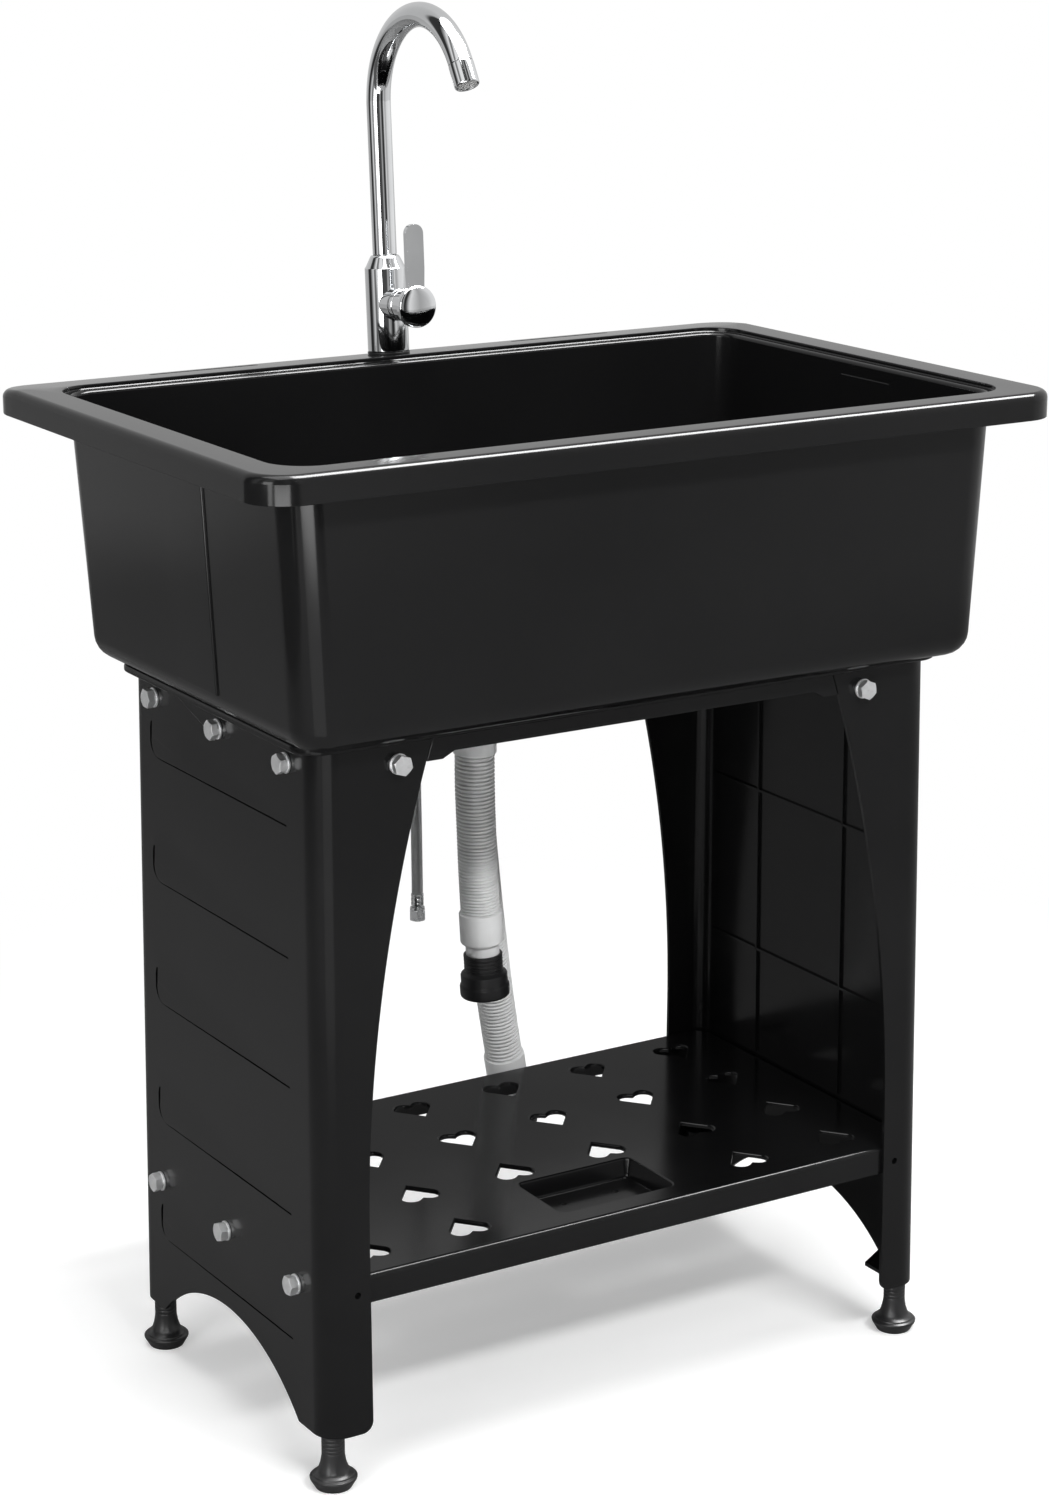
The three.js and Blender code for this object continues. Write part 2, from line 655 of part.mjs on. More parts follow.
// Corner plate and socket that carry a foot, trimmed to the panel's outer faces
function makeSocket(outer, side) {
  const radius = FOOT_COLUMN + FIT + SOCKET_WALL;
  const reach = side * (FOOT_Y + 30);
  const plate = prismZ(
    [
      [-FOOT_X - 30, side * (FOOT_Y - 30)], [-FOOT_X - 8, side * (FOOT_Y - 30)],
      [-FOOT_X + 21, side * (FOOT_Y - 13)], [-FOOT_X + 21, reach], [-FOOT_X - 30, reach],
    ],
    CORNER_PLATE_Z, CORNER_PLATE_Z + CORNER_PLATE,
  );
  const top = FOOT_COLUMN_TOP + FIT + SOCKET_ROOF;
  const post = solid(rod(radius, PANEL_BOTTOM + 2, top, SMALL_ROUND).translate(-FOOT_X, side * FOOT_Y, 0));
  return fuse(plate, post).intersect(outer);
}

function footBores() {
  return [-1, 1].map((side) => solid(
    rod(FOOT_COLUMN + FIT, PANEL_BOTTOM - 5, FOOT_COLUMN_TOP + FIT, SMALL_ROUND)
      .translate(-FOOT_X, side * FOOT_Y, 0),
  ));
}

const endPanel = makeEndPanel();
piece('end_panel_left', endPanel, blackSatin);
piece('end_panel_right', endPanel, blackSatin).rotation.z = Math.PI;

// ---------------------------------------------------------------- upper frame

function makeUpperFrame() {
  const halfX = panelX(frameUnder) + FRAME_LIP_X + 3;
  const halfY = panelY(frameUnder) + FRAME_LIP_Y;
  const plateRing = (inset, z) =>
    roundedRing(halfX - inset, halfY - inset, halfY - inset, PANEL_CORNER + 2, z);
  const plate = solid(loft([
    plateRing(1, frameUnder), plateRing(0, frameUnder + 1),
    plateRing(0, FRAME_TOP - 2), plateRing(2, FRAME_TOP),
  ]));

  const skirtX = panelX(frameUnder) - PANEL_WALL - FIT;
  const skirtY = panelY(frameUnder) - PANEL_WALL - FIT;
  const skirtBottom = frameUnder - FRAME_SKIRT;
  const corner = PANEL_CORNER - PANEL_WALL - FIT;
  const frameBlock = (inset, low, high) => solid(loft([low, high].map((z) =>
    roundedRing(skirtX - inset, skirtY - inset, skirtY - inset, corner - inset, z))));
  const skirt = carve(
    frameBlock(0, skirtBottom, frameUnder + 1),
    frameBlock(FRAME_WALL, skirtBottom - 1, frameUnder),
  );

  // Between the wings the rail comes out flush with them
  const railBottom = frameUnder - RAIL_DEPTH;
  const stepBottom = railBottom - RAIL_STEP;
  const endX = (z) => wingEdge(z) - 2 * FIT;
  const rail = prismY(
    [
      [-endX(stepBottom), stepBottom], [endX(stepBottom), stepBottom],
      [endX(frameUnder), frameUnder + 1], [-endX(frameUnder), frameUnder + 1],
    ],
    -PANEL_Y, PANEL_Y,
  ).subtract(frameBlock(FRAME_WALL, stepBottom - 1, frameUnder));
  const behindWing = wingEdge(skirtBottom) + 4;
  const belowRail = prismY(
    [
      [-behindWing, skirtBottom - 5], [behindWing, skirtBottom - 5], [behindWing, stepBottom],
      [RAIL_STEP_X + 10, stepBottom], [RAIL_STEP_X, railBottom],
      [-RAIL_STEP_X, railBottom], [-RAIL_STEP_X - 10, stepBottom], [-behindWing, stepBottom],
    ],
    -PANEL_Y - 5, PANEL_Y + 5,
  );

  const openingBlock = (out, low, high) => solid(loft([low, high].map((z) => roundedRing(
    FRAME_OPENING_X + out, FRAME_OPENING_FRONT + out, FRAME_OPENING_BACK + out,
    FRAME_OPENING_CORNER + out, z,
  ))));
  const lip = openingBlock(FRAME_WALL, frameUnder - FRAME_RIB, frameUnder + 1);
  const opening = openingBlock(0, frameUnder - FRAME_RIB - 1, FRAME_TOP + 1);

  const halfBar = CROSSBAR_WIDTH / 2;
  const bars = [-CROSSBAR_X, CROSSBAR_X].map((x) => box(
    [x - halfBar, -FRAME_OPENING_FRONT - 1, frameUnder - FRAME_RIB],
    [x + halfBar, FRAME_OPENING_BACK + 1, FRAME_TOP],
  ));

  let frame = carve(fuse(skirt, rail), belowRail);
  frame = fuse(frame, plate, lip, ...boltBosses(upperBolts, PANEL_WALL + FIT + FRAME_WALL - 1));
  frame = fuse(carve(frame, opening), ...bars);
  return carve(frame, ...boltHoles(upperBolts));
}

piece('upper_frame', makeUpperFrame(), blackSatin);

// ---------------------------------------------------------------- shelf

const shelfBottom = SHELF_TOP - SHELF_SKIRT;
const shelfHalfX = panelX(SHELF_TOP) - PANEL_WALL - FIT;
const shelfHalfY = panelY(SHELF_TOP) - PANEL_WALL - FIT;

// Heart with its tip along +Y: two round lobes and two straight flanks
function heart(x, y, tipSign) {
  const lobe = HEART_WIDTH / 4;
  const lobeY = lobe - HEART_LENGTH / 2;
  const half = [[0, lobeY - lobe * 0.45]];
  for (const degrees of [-110, -60, -10, 35]) {
    const angle = radians(degrees);
    half.push([lobe + lobe * Math.cos(angle), lobeY + lobe * Math.sin(angle)]);
  }
  const places = [...half, [0, HEART_LENGTH / 2], ...half.slice(1).reverse().map(([a, b]) => [-a, b])];
  return places.map(([a, b]) => [x + a * tipSign, y + b * tipSign]);
}

function heartPlaces() {
  const places = [];
  for (let row = 0; row < HEART_ROWS; row++) {
    const y = (row - (HEART_ROWS - 1) / 2) * HEART_PITCH_Y;
    for (let column = 0; column < HEART_COLUMNS; column++) {
      const x = (column - (HEART_COLUMNS - 1) / 2) * HEART_PITCH_X;
      const inTray = row === 0 && Math.abs(x - TRAY_X) < TRAY_LENGTH / 2;
      if (!inTray) places.push({ x, y, tipSign: y > 0 ? -1 : 1 });
    }
  }
  return places;
}

function makeShelf() {
  const ring = (inset, z) =>
    roundedRing(shelfHalfX - inset, shelfHalfY - inset, shelfHalfY - inset,
      PANEL_CORNER - PANEL_WALL - inset / 2, z);
  const outer = solid(loft([
    ring(0, shelfBottom), ring(0, SHELF_TOP - SHELF_EDGE),
    ring(SHELF_EDGE * 0.3, SHELF_TOP - SHELF_EDGE * 0.3), ring(SHELF_EDGE, SHELF_TOP),
  ]));
  const inner = solid(loft([ring(SHELF_WALL, shelfBottom - 1), ring(SHELF_WALL, SHELF_TOP - SHELF_WALL)]));

  const trayRing = (out, z, depth) => {
    const halfX = TRAY_LENGTH / 2 + out - TRAY_DRAFT * depth;
    const halfY = TRAY_WIDTH / 2 + out - TRAY_DRAFT * depth;
    return roundedRing(halfX, halfY, halfY, TRAY_CORNER + out, z)
      .map(({ x, y }) => point(x + TRAY_X, y + TRAY_Y, z));
  };
  const trayFloor = SHELF_TOP - TRAY_DEPTH;
  const dish = solid(loft([
    trayRing(SHELF_WALL, trayFloor - SHELF_WALL, 1), trayRing(SHELF_WALL, SHELF_TOP - 1, 0),
  ]));
  const hollow = solid(loft([trayRing(0, trayFloor, 1), trayRing(0, SHELF_TOP + 1, 0)]));
  const drains = [-24, 24].map((x) =>
    solid(rod(TRAY_HOLE, trayFloor - 10, trayFloor + 5, 8).translate(TRAY_X + x, TRAY_Y + 10, 0)));

  const ribs = [-1, 0, 1].map((side) => {
    const x = side * HEART_PITCH_X * 2;
    return box([x - 1.2, -shelfHalfY + 2, shelfBottom + 4], [x + 1.2, shelfHalfY - 2, SHELF_TOP - 1]);
  });
  const hearts = heartPlaces().map(({ x, y, tipSign }) =>
    prismZ(heart(x, y, tipSign), SHELF_TOP - SHELF_WALL - 3, SHELF_TOP + 1));

  let shelf = fuse(carve(outer, inner), ...ribs.map((rib) => rib.intersect(outer)));
  shelf = fuse(shelf, dish, ...boltBosses(lowerBolts, PANEL_WALL + FIT + SHELF_WALL - 1));
  return carve(shelf, hollow, ...drains, ...hearts, ...boltHoles(lowerBolts));
}

piece('shelf', makeShelf(), blackSatin);

// ---------------------------------------------------------------- feet

const footProfile = [
  [0, 0], [13.5, 0], [FOOT_DISC, 7.6], [FOOT_DISC, 9], [15.5, 9.8], [15.5, 11],
  [12.6, 12.4], [9.8, 20], [FOOT_COLUMN, 26], [FOOT_COLUMN, FOOT_COLUMN_TOP],
  [0, FOOT_COLUMN_TOP],
];
for (const [side, sideX] of [['left', -1], ['right', 1]]) {
  for (const [where, sideY] of [['front', -1], ['rear', 1]]) {
    const foot = piece(`foot_${where}_${side}`, turned(footProfile, SMALL_ROUND), blackSatin);
    foot.position.set(sideX * FOOT_X, sideY * FOOT_Y, 0);
  }
}

// ---------------------------------------------------------------- waste strainer

const cupOuter = CUP_RADIUS + CUP_WALL;
const cupBottom = floorTop - CUP_DEPTH - CUP_WALL;
const strainer = new THREE.Group();
strainer.position.y = DRAIN_Y;
stand.add(strainer);

const flangeBottom = floorTop - FLANGE_SEAT + FIT;
piece('strainer_flange', turnedRing([
  [FLANGE_RADIUS, flangeBottom], [FLANGE_RADIUS, floorTop + FLANGE_PROUD / 3],
  [FLANGE_RADIUS - FLANGE_BEVEL, floorTop + FLANGE_PROUD],
  [CUP_RADIUS + FLANGE_BEVEL / 2, floorTop + FLANGE_PROUD],
  [CUP_RADIUS, floorTop - FLANGE_PROUD], [CUP_RADIUS, floorTop - CUP_DEPTH],
  [TAIL_BORE, floorTop - CUP_DEPTH], [TAIL_BORE, cupBottom - TAIL_LENGTH],
  [TAIL_RADIUS, cupBottom - TAIL_LENGTH], [TAIL_RADIUS, cupBottom], [cupOuter, cupBottom],
  [cupOuter, flangeBottom],
]), stainless, strainer);

const sealTop = tubBottom - FIT;
const sealBottom = sealTop - WASTE_SEAL_THICK;
const sealShape = tube(cupOuter + FIT, DRAIN_HOLE + WASTE_SEAL_WIDTH, sealBottom, sealTop);
piece('strainer_seal', sealShape, blackRubber, strainer);

const nutTop = sealBottom - FIT;
const nutBottom = nutTop - WASTE_NUT_HEIGHT;
const nutOuter = DRAIN_HOLE + WASTE_NUT_WIDTH;
const nutLugs = [0, 1, 2, 3].map((i) => solid(
  new THREE.BoxGeometry(NUT_LUG_LENGTH, NUT_LUG_WIDTH, NUT_LUG_HEIGHT)
    .translate(nutOuter + NUT_LUG_LENGTH / 5, 0, (nutTop + nutBottom) / 2)
    .rotateZ((i * Math.PI) / 2),
));
const nutRing = solid(tube(cupOuter + FIT, nutOuter, nutBottom, nutTop));
piece('strainer_nut', fuse(nutRing, ...nutLugs), whitePlastic, strainer);

function makeBasket() {
  const rim = floorTop + FLANGE_PROUD + FIT;
  const outer = CUP_RADIUS - BASKET_GAP;
  const inner = outer - BASKET_WALL;
  const bottom = floorTop - BASKET_DEPTH;
  const lip = CUP_RADIUS + BASKET_LIP;
  const bowl = solid(turned([
    [0, bottom], [outer - BASKET_CORNER, bottom], [outer, bottom + BASKET_CORNER], [outer, rim],
    [lip, rim], [lip, rim + BASKET_WALL], [inner, rim + BASKET_WALL],
    [inner, bottom + BASKET_CORNER + BASKET_WALL / 2],
    [inner - BASKET_CORNER + BASKET_WALL / 3, bottom + BASKET_WALL], [0, bottom + BASKET_WALL],
  ]));
  const crown = KNOB_RADIUS * 0.27;
  const knob = solid(turned([
    [0, bottom + BASKET_WALL / 2], [KNOB_STEM, bottom + BASKET_WALL / 2],
    [KNOB_STEM, rim - KNOB_RADIUS * 0.9], [KNOB_RADIUS, rim - KNOB_RADIUS * 0.64],
    [KNOB_RADIUS, rim - crown * 0.7], [KNOB_RADIUS - crown, rim], [0, rim],
  ], SMALL_ROUND));
  const holes = Array.from({ length: BASKET_HOLES }, (_, i) => solid(
    rod(BASKET_HOLE, bottom - BASKET_WALL, bottom + 3 * BASKET_WALL, 6)
      .translate(inner * 0.55, 0, 0)
      .rotateZ((2 * Math.PI * i) / BASKET_HOLES),
  ));
  return carve(fuse(bowl, knob), ...holes);
}

piece('strainer_basket', makeBasket(), stainless, strainer);

// ---------------------------------------------------------------- twin outlet

const outletTop = cupBottom - TAIL_LENGTH;
const outletBottom = outletTop - OUTLET_HEIGHT + FIT;
const spigotX = (OUTLET_SPREAD / 2) * Math.cos(radians(OUTLET_DIRECTION));
const spigotY = (OUTLET_SPREAD / 2) * Math.sin(radians(OUTLET_DIRECTION));
const spigotBottom = outletBottom - SPIGOT_LENGTH;

// Outline with half-round ends about the two spigots
function stadium(radius) {
  const ends = [[OUTLET_SPREAD / 2, -90], [-OUTLET_SPREAD / 2, 90]];
  const turn = radians(OUTLET_DIRECTION);
  return ends.flatMap(([along, from]) => Array.from({ length: 7 }, (_, i) => {
    const angle = radians(from + 30 * i);
    const [x, y] = [along + radius * Math.cos(angle), radius * Math.sin(angle)];
    return [x * Math.cos(turn) - y * Math.sin(turn), x * Math.sin(turn) + y * Math.cos(turn)];
  }));
}

function makeOutlet() {
  const neckTop = cupBottom - FIT;
  const neckInner = TAIL_RADIUS + FIT;
  const neck = solid(rod(neckInner + OUTLET_WALL, outletTop - FIT - 4, neckTop));
  const body = prismZ(stadium(OUTLET_RADIUS), outletBottom, outletTop - FIT);
  const roomBottom = outletBottom + OUTLET_WALL;
  const room = prismZ(stadium(OUTLET_RADIUS - OUTLET_WALL), roomBottom, outletTop - FIT - OUTLET_WALL);
  const places = [[spigotX, spigotY], [-spigotX, -spigotY]];
  const spigots = places.map(([x, y]) =>
    solid(rod(SPIGOT_RADIUS, spigotBottom, outletBottom + 1, SMALL_ROUND).translate(x, y, 0)));
  const bores = places.map(([x, y]) =>
    solid(rod(SPIGOT_BORE, spigotBottom - 1, roomBottom + 1, SMALL_ROUND).translate(x, y, 0)));
  const socket = solid(rod(neckInner, outletTop - FIT, neckTop + 1));
  const way = solid(rod(TAIL_BORE, outletTop - FIT - OUTLET_WALL - 1, outletTop, SMALL_ROUND));
  return carve(fuse(body, neck, ...spigots), room, socket, way, ...bores);
}

piece('twin_outlet', makeOutlet(), whitePlastic, strainer);

// ---------------------------------------------------------------- drain hoses

// Each hose leaves a spigot straight down; the rear one leans out behind the shelf.
const collarTop = outletBottom - FIT;
const collarBottom = collarTop - COLLAR_LENGTH;
const hoseTop = collarBottom - FIT;
const FRONT_ROUTE = [
  [-11.7, 68.2, hoseTop], [-11.7, 68.2, 464], [-11.5, 68.2, 448], [-10.9, 68.2, 428],
  [-10.0, 68.2, 404], [-9.0, 68.2, 380], [-8.0, 68.2, 362], [-7.1, 68.2, 347],
];
const REAR_ROUTE = [
  [11.7, 108.8, hoseTop], [11.7, 108.8, 464], [12.2, 109.6, 446], [14.6, 112.6, 424],
  [20.5, 119.6, 394], [31, 131.5, 354], [42.6, 144.4, 314], [53.6, 155.4, 275],
  [62.6, 163.6, 240], [69.9, 168.8, 210], [77.9, 172.9, 175],
];

const curveThrough = (route) =>
  new THREE.CatmullRomCurve3(route.map((place) => point(...place)), false, 'centripetal');

// Ring of a hose about its route
function hoseRing(curve, share, radius, sides = HOSE_SIDES) {
  const at = curve.getPointAt(share);
  const along = curve.getTangentAt(share);
  const side = point(1, 0, 0).cross(along).lengthSq() > 0.02
    ? point(0, 1, 0).cross(along).normalize() : point(0, 0, 1);
  const across = along.clone().cross(side).normalize();
  return Array.from({ length: sides }, (_, i) => {
    const angle = (2 * Math.PI * i) / sides;
    return at.clone().addScaledVector(side, radius * Math.cos(angle))
      .addScaledVector(across, radius * Math.sin(angle));
  });
}

function ribbedHose(curve, pitch) {
  const ribs = Math.round(curve.getLength() / pitch);
  const rings = [hoseRing(curve, 0, HOSE_VALLEY)];
  for (let i = 0; i < ribs; i++) {
    rings.push(hoseRing(curve, (i + 0.35) / ribs, HOSE_RADIUS));
    rings.push(hoseRing(curve, (i + 0.9) / ribs, HOSE_VALLEY));
  }
  rings.push(hoseRing(curve, 1, HOSE_VALLEY));
  const boreRings = Math.ceil(ribs / 5);
  for (let i = boreRings; i >= 0; i--) rings.push(hoseRing(curve, i / boreRings, HOSE_BORE));
  return loft(rings, true);
}

const sleeveEnd = SLEEVE_LENGTH + NECK_VISIBLE + NECK_HIDDEN;
const adapterStart = SLEEVE_LENGTH + NECK_VISIBLE;

// The pieces on a hose's end, drawn along +Z from the end of the hose
function hoseEnd(prefix, curve) {
  const group = new THREE.Group();
  group.position.copy(curve.getPointAt(1));
  group.quaternion.setFromUnitVectors(point(0, 0, 1), curve.getTangentAt(1));
  stand.add(group);
  piece(`${prefix}_hose_sleeve`, turnedRing([
    [HOSE_BORE - 1, FIT], [COLLAR_RADIUS - 0.8, FIT], [COLLAR_RADIUS, FIT + 1.2],
    [COLLAR_RADIUS, SLEEVE_LENGTH - 2.5], [NECK_RADIUS, SLEEVE_LENGTH], [NECK_RADIUS, sleeveEnd],
    [HOSE_BORE - 1, sleeveEnd],
  ], SMALL_ROUND), hosePlastic, group);
  const mouth = adapterStart + ADAPTER_LENGTH;
  piece(`${prefix}_hose_adapter`, turnedRing([
    [NECK_RADIUS + FIT, adapterStart], [15.8, adapterStart], [15.4, adapterStart + 14],
    [ADAPTER_RADIUS - 1.2, adapterStart + 17], [ADAPTER_RADIUS - 1.2, adapterStart + 25],
    [ADAPTER_RADIUS, adapterStart + 27], [ADAPTER_RADIUS, mouth - 2], [ADAPTER_RADIUS - 1, mouth],
    [ADAPTER_RADIUS - 3, mouth], [ADAPTER_RADIUS - 3, mouth - 15], [NECK_RADIUS + FIT, mouth - 18],
  ], SMALL_ROUND), blackRubber, group);
}

for (const [prefix, route, pitch, side] of [
  ['front', FRONT_ROUTE, FRONT_RIB_PITCH, -1],
  ['rear', REAR_ROUTE, REAR_RIB_PITCH, 1],
]) {
  const collar = piece(`${prefix}_hose_collar`, turnedRing([
    [SPIGOT_RADIUS + FIT, collarTop], [COLLAR_RADIUS - 0.8, collarTop], [COLLAR_RADIUS, collarTop - 1.2],
    [COLLAR_RADIUS, collarBottom + 1.2], [COLLAR_RADIUS - 0.8, collarBottom],
    [SPIGOT_RADIUS + FIT, collarBottom],
  ], SMALL_ROUND), hosePlastic, strainer);
  collar.position.set(side * spigotX, side * spigotY, 0);
  const curve = curveThrough(route);
  piece(`${prefix}_drain_hose`, ribbedHose(curve, pitch), hosePlastic);
  hoseEnd(prefix, curve);
}

// ---------------------------------------------------------------- tap

const ringBottom = FIT;
const bodyBottom = ringBottom + BASE_RING + FIT;
const bonnetEnd = BARREL_LENGTH + FIT + BONNET_LENGTH;
const capBack = bonnetEnd + FIT;
const toFront = (geometry) => alongY(geometry, -1).translate(0, 0, VALVE_Z); // +Z drawn to the front
const spoutSocket = SPOUT_TAIL + FIT + BEARING_WALL + FIT;

const baseRing = tube(SHANK_RADIUS + 2, TAP_RADIUS + 0.4, ringBottom, ringBottom + BASE_RING);
piece('tap_base_ring', baseRing, blackRubber, tap);

function makeTapBody() {
  const column = solid(turned([
    [0, bodyBottom], [TAP_RADIUS - 0.5, bodyBottom], [TAP_RADIUS, bodyBottom + 0.6],
    [TAP_RADIUS, TAP_SHOULDER_Z - 0.8], [TAP_RADIUS - 0.7, TAP_SHOULDER_Z],
    [spoutSocket + 1.6, TAP_TOP - 1], [spoutSocket + 0.8, TAP_TOP], [0, TAP_TOP],
  ]));
  const barrel = solid(toFront(rod(BARREL_RADIUS, 0, BARREL_LENGTH)));
  const chamber = solid(toFront(rod(CARTRIDGE_RADIUS + FIT, CARTRIDGE_START - FIT, BARREL_LENGTH + 1)));
  const inlet = solid(rod(TAP_BORE, bodyBottom - 1, VALVE_Z, 12));
  const outlet = solid(rod(TAP_BORE, VALVE_Z, TAP_TOP, 12));
  const shankSeat = solid(rod(SHANK_RADIUS + FIT, bodyBottom - 1, bodyBottom + 12, SMALL_ROUND));
  const socket = solid(rod(spoutSocket, TAP_TOP - SPOUT_TAIL_LENGTH - FIT, TAP_TOP + 1, ROUND));
  return carve(fuse(column, barrel), chamber, inlet, outlet, shankSeat, socket);
}

piece('tap_body', makeTapBody(), chrome, tap);
const cartridgeEnd = CARTRIDGE_START + CARTRIDGE_LENGTH;
piece('valve_cartridge', toFront(rod(CARTRIDGE_RADIUS, CARTRIDGE_START, cartridgeEnd)), greyPlastic, tap);

const bonnetStart = BARREL_LENGTH + FIT;
piece('valve_bonnet', toFront(turnedRing([
  [CARTRIDGE_RADIUS + FIT, bonnetStart], [BONNET_RADIUS - 0.5, bonnetStart],
  [BONNET_RADIUS, bonnetStart + 0.5], [BONNET_RADIUS, bonnetEnd - 0.5], [BONNET_RADIUS - 0.5, bonnetEnd],
  [STEM_RADIUS + FIT, bonnetEnd], [STEM_RADIUS + FIT, cartridgeEnd + 3 * FIT],
  [CARTRIDGE_RADIUS + FIT, cartridgeEnd + 3 * FIT],
])), chrome, tap);

const stemEnd = cartridgeEnd + FIT + STEM_LENGTH;
piece('valve_stem', toFront(rod(STEM_RADIUS, cartridgeEnd + FIT, stemEnd, 12)), brass, tap);

function makeLever() {
  const capFront = capBack + CAP_LENGTH;
  const cap = solid(toFront(turned([
    [0, capBack], [CAP_RADIUS - 0.6, capBack], [CAP_RADIUS, capBack + 0.6],
    [CAP_RADIUS, capFront - CAP_CROWN], [CAP_RADIUS - 0.9, capFront - CAP_CROWN + 1],
    [CAP_RADIUS - 2.6, capFront - 0.9], [CAP_RADIUS * 0.45, capFront - 0.2], [0, capFront],
  ])));
  // Paddle: flat, with a half-round top, a little narrower at the cap
  const half = LEVER_WIDTH / 2;
  const shoulder = VALVE_Z + LEVER_TOP - half * 0.8;
  const round = Array.from({ length: 7 }, (_, i) => {
    const angle = radians(30 * i);
    return [half * Math.cos(angle), shoulder + half * 0.8 * Math.sin(angle)];
  });
  const paddle = prismY(
    [[half - 1.5, VALVE_Z], ...round, [1.5 - half, VALVE_Z]],
    -capBack - LEVER_THICK, -capBack,
  );
  const stemHole = solid(toFront(rod(STEM_RADIUS + FIT, capBack - 1, stemEnd + FIT, 12)));
  const screwHole = solid(rod(SET_SCREW + FIT, VALVE_Z - CAP_RADIUS - 1, VALVE_Z - STEM_RADIUS, 8)
    .translate(0, -capBack - 2.6, 0));
  return carve(fuse(cap, paddle), stemHole, screwHole);
}

piece('lever', makeLever(), chrome, tap);
piece('lever_set_screw', rod(SET_SCREW, VALVE_Z - CAP_RADIUS + 3, VALVE_Z - STEM_RADIUS - FIT, 8)
  .translate(0, -capBack - 2.6, 0), zinc, tap);

// Spout: a tube along a straight and an arc, with a thinner tail in the body
const spoutFoot = TAP_TOP + FIT;
const spoutTailBottom = TAP_TOP - SPOUT_TAIL_LENGTH;

// Place and direction on the spout's bend, at an angle from the straight
const onBend = (angle) => ({
  at: point(0, -SPOUT_BEND * (1 - Math.cos(angle)), SPOUT_STRAIGHT + SPOUT_BEND * Math.sin(angle)),
  along: point(0, -Math.sin(angle), Math.cos(angle)),
});

function spoutRing({ at, along }, radius) {
  const side = point(1, 0, 0);
  const across = along.clone().cross(side);
  return Array.from({ length: SPOUT_SIDES }, (_, i) => {
    const angle = (2 * Math.PI * i) / SPOUT_SIDES;
    return at.clone().addScaledVector(side, radius * Math.cos(angle))
      .addScaledVector(across, radius * Math.sin(angle));
  });
}

function makeSpout() {
  const upright = (z) => ({ at: point(0, 0, z), along: point(0, 0, 1) });
  const bendSteps = 10;
  const bend = Array.from({ length: bendSteps + 1 }, (_, i) =>
    onBend((radians(SPOUT_SWEEP) * i) / bendSteps));
  const inner = SPOUT_RADIUS - SPOUT_WALL;
  const rings = [
    spoutRing(upright(spoutTailBottom), SPOUT_TAIL),
    spoutRing(upright(spoutFoot), SPOUT_TAIL),
    spoutRing(upright(spoutFoot), SPOUT_RADIUS),
    ...bend.map((station) => spoutRing(station, SPOUT_RADIUS)),
    ...[...bend].reverse().map((station) => spoutRing(station, inner)),
    spoutRing(upright(spoutFoot + SPOUT_WALL), inner),
    spoutRing(upright(spoutFoot), SPOUT_TAIL - SPOUT_WALL),
    spoutRing(upright(spoutTailBottom), SPOUT_TAIL - SPOUT_WALL),
  ];
  return loft(rings, true);
}

piece('spout', makeSpout(), chrome, tap);
const bearingBore = SPOUT_TAIL + FIT;
const bearing = tube(bearingBore, bearingBore + BEARING_WALL, spoutTailBottom, TAP_TOP - FIT, ROUND);
piece('spout_bearing', bearing, whitePlastic, tap);

const mouth = onBend(radians(SPOUT_SWEEP));
const nozzle = new THREE.Group();
nozzle.position.copy(mouth.at);
nozzle.quaternion.setFromUnitVectors(point(0, 0, 1), mouth.along);
tap.add(nozzle);
const shellBore = AERATOR_RADIUS - AERATOR_WALL;
piece('aerator_shell', turnedRing([
  [shellBore - 1.2, FIT], [AERATOR_RADIUS - 0.5, FIT], [AERATOR_RADIUS, FIT + 0.8],
  [AERATOR_RADIUS, AERATOR_LENGTH - 1.2], [AERATOR_RADIUS - 0.8, AERATOR_LENGTH],
  [shellBore, AERATOR_LENGTH], [shellBore, FIT + 4], [shellBore - 1.2, FIT + 3],
], ROUND), chrome, nozzle);

function makeAeratorInsert() {
  const disc = solid(rod(shellBore - FIT, AERATOR_LENGTH - 12, AERATOR_LENGTH - 1.5, SMALL_ROUND));
  const holes = Array.from({ length: 6 }, (_, i) => solid(
    rod(AERATOR_WALL, AERATOR_LENGTH - 14, AERATOR_LENGTH, 6)
      .translate(shellBore * 0.55, 0, 0)
      .rotateZ((Math.PI * i) / 3),
  ));
  return carve(disc, ...holes);
}

piece('aerator_insert', makeAeratorInsert(), whitePlastic, nozzle);

// Shank, washer and nut that clamp the tap to the deck
const deckUnder = -TUB_WALL - FIT;
const shankTop = bodyBottom + 11;
const shankBottom = -SHANK_LENGTH;
piece('tap_shank', tube(SHANK_BORE, SHANK_RADIUS, shankBottom, shankTop, SMALL_ROUND), brass, tap);
const washerBottom = deckUnder - SHANK_WASHER_THICK;
const washerShape = tube(SHANK_RADIUS + FIT, SHANK_WASHER, washerBottom, deckUnder, SMALL_ROUND);
piece('tap_washer', washerShape, blackRubber, tap);
const shankNutTop = washerBottom - FIT;
piece('tap_nut', carve(
  solid(hexagon(SHANK_NUT, shankNutTop - SHANK_NUT_THICK, shankNutTop)),
  solid(rod(SHANK_RADIUS + FIT, shankNutTop - SHANK_NUT_THICK - 1, shankNutTop + 1, SMALL_ROUND)),
), zinc, tap);

// ---------------------------------------------------------------- supply hose

// Tail fitting, half up the shank, that carries the hose
const tailTop = shankBottom + 10;
const tailBottom = shankBottom - SUPPLY_TAIL_LENGTH;
piece('supply_tail', turned([
  [0, tailTop], [SHANK_BORE - FIT, tailTop], [SHANK_BORE - FIT, shankBottom - FIT],
  [FERRULE_RADIUS + 1, shankBottom - FIT], [FERRULE_RADIUS + 1, shankBottom - 8],
  [FERRULE_RADIUS, shankBottom - 9], [FERRULE_RADIUS, tailBottom], [0, tailBottom],
], 12), zinc, tap);

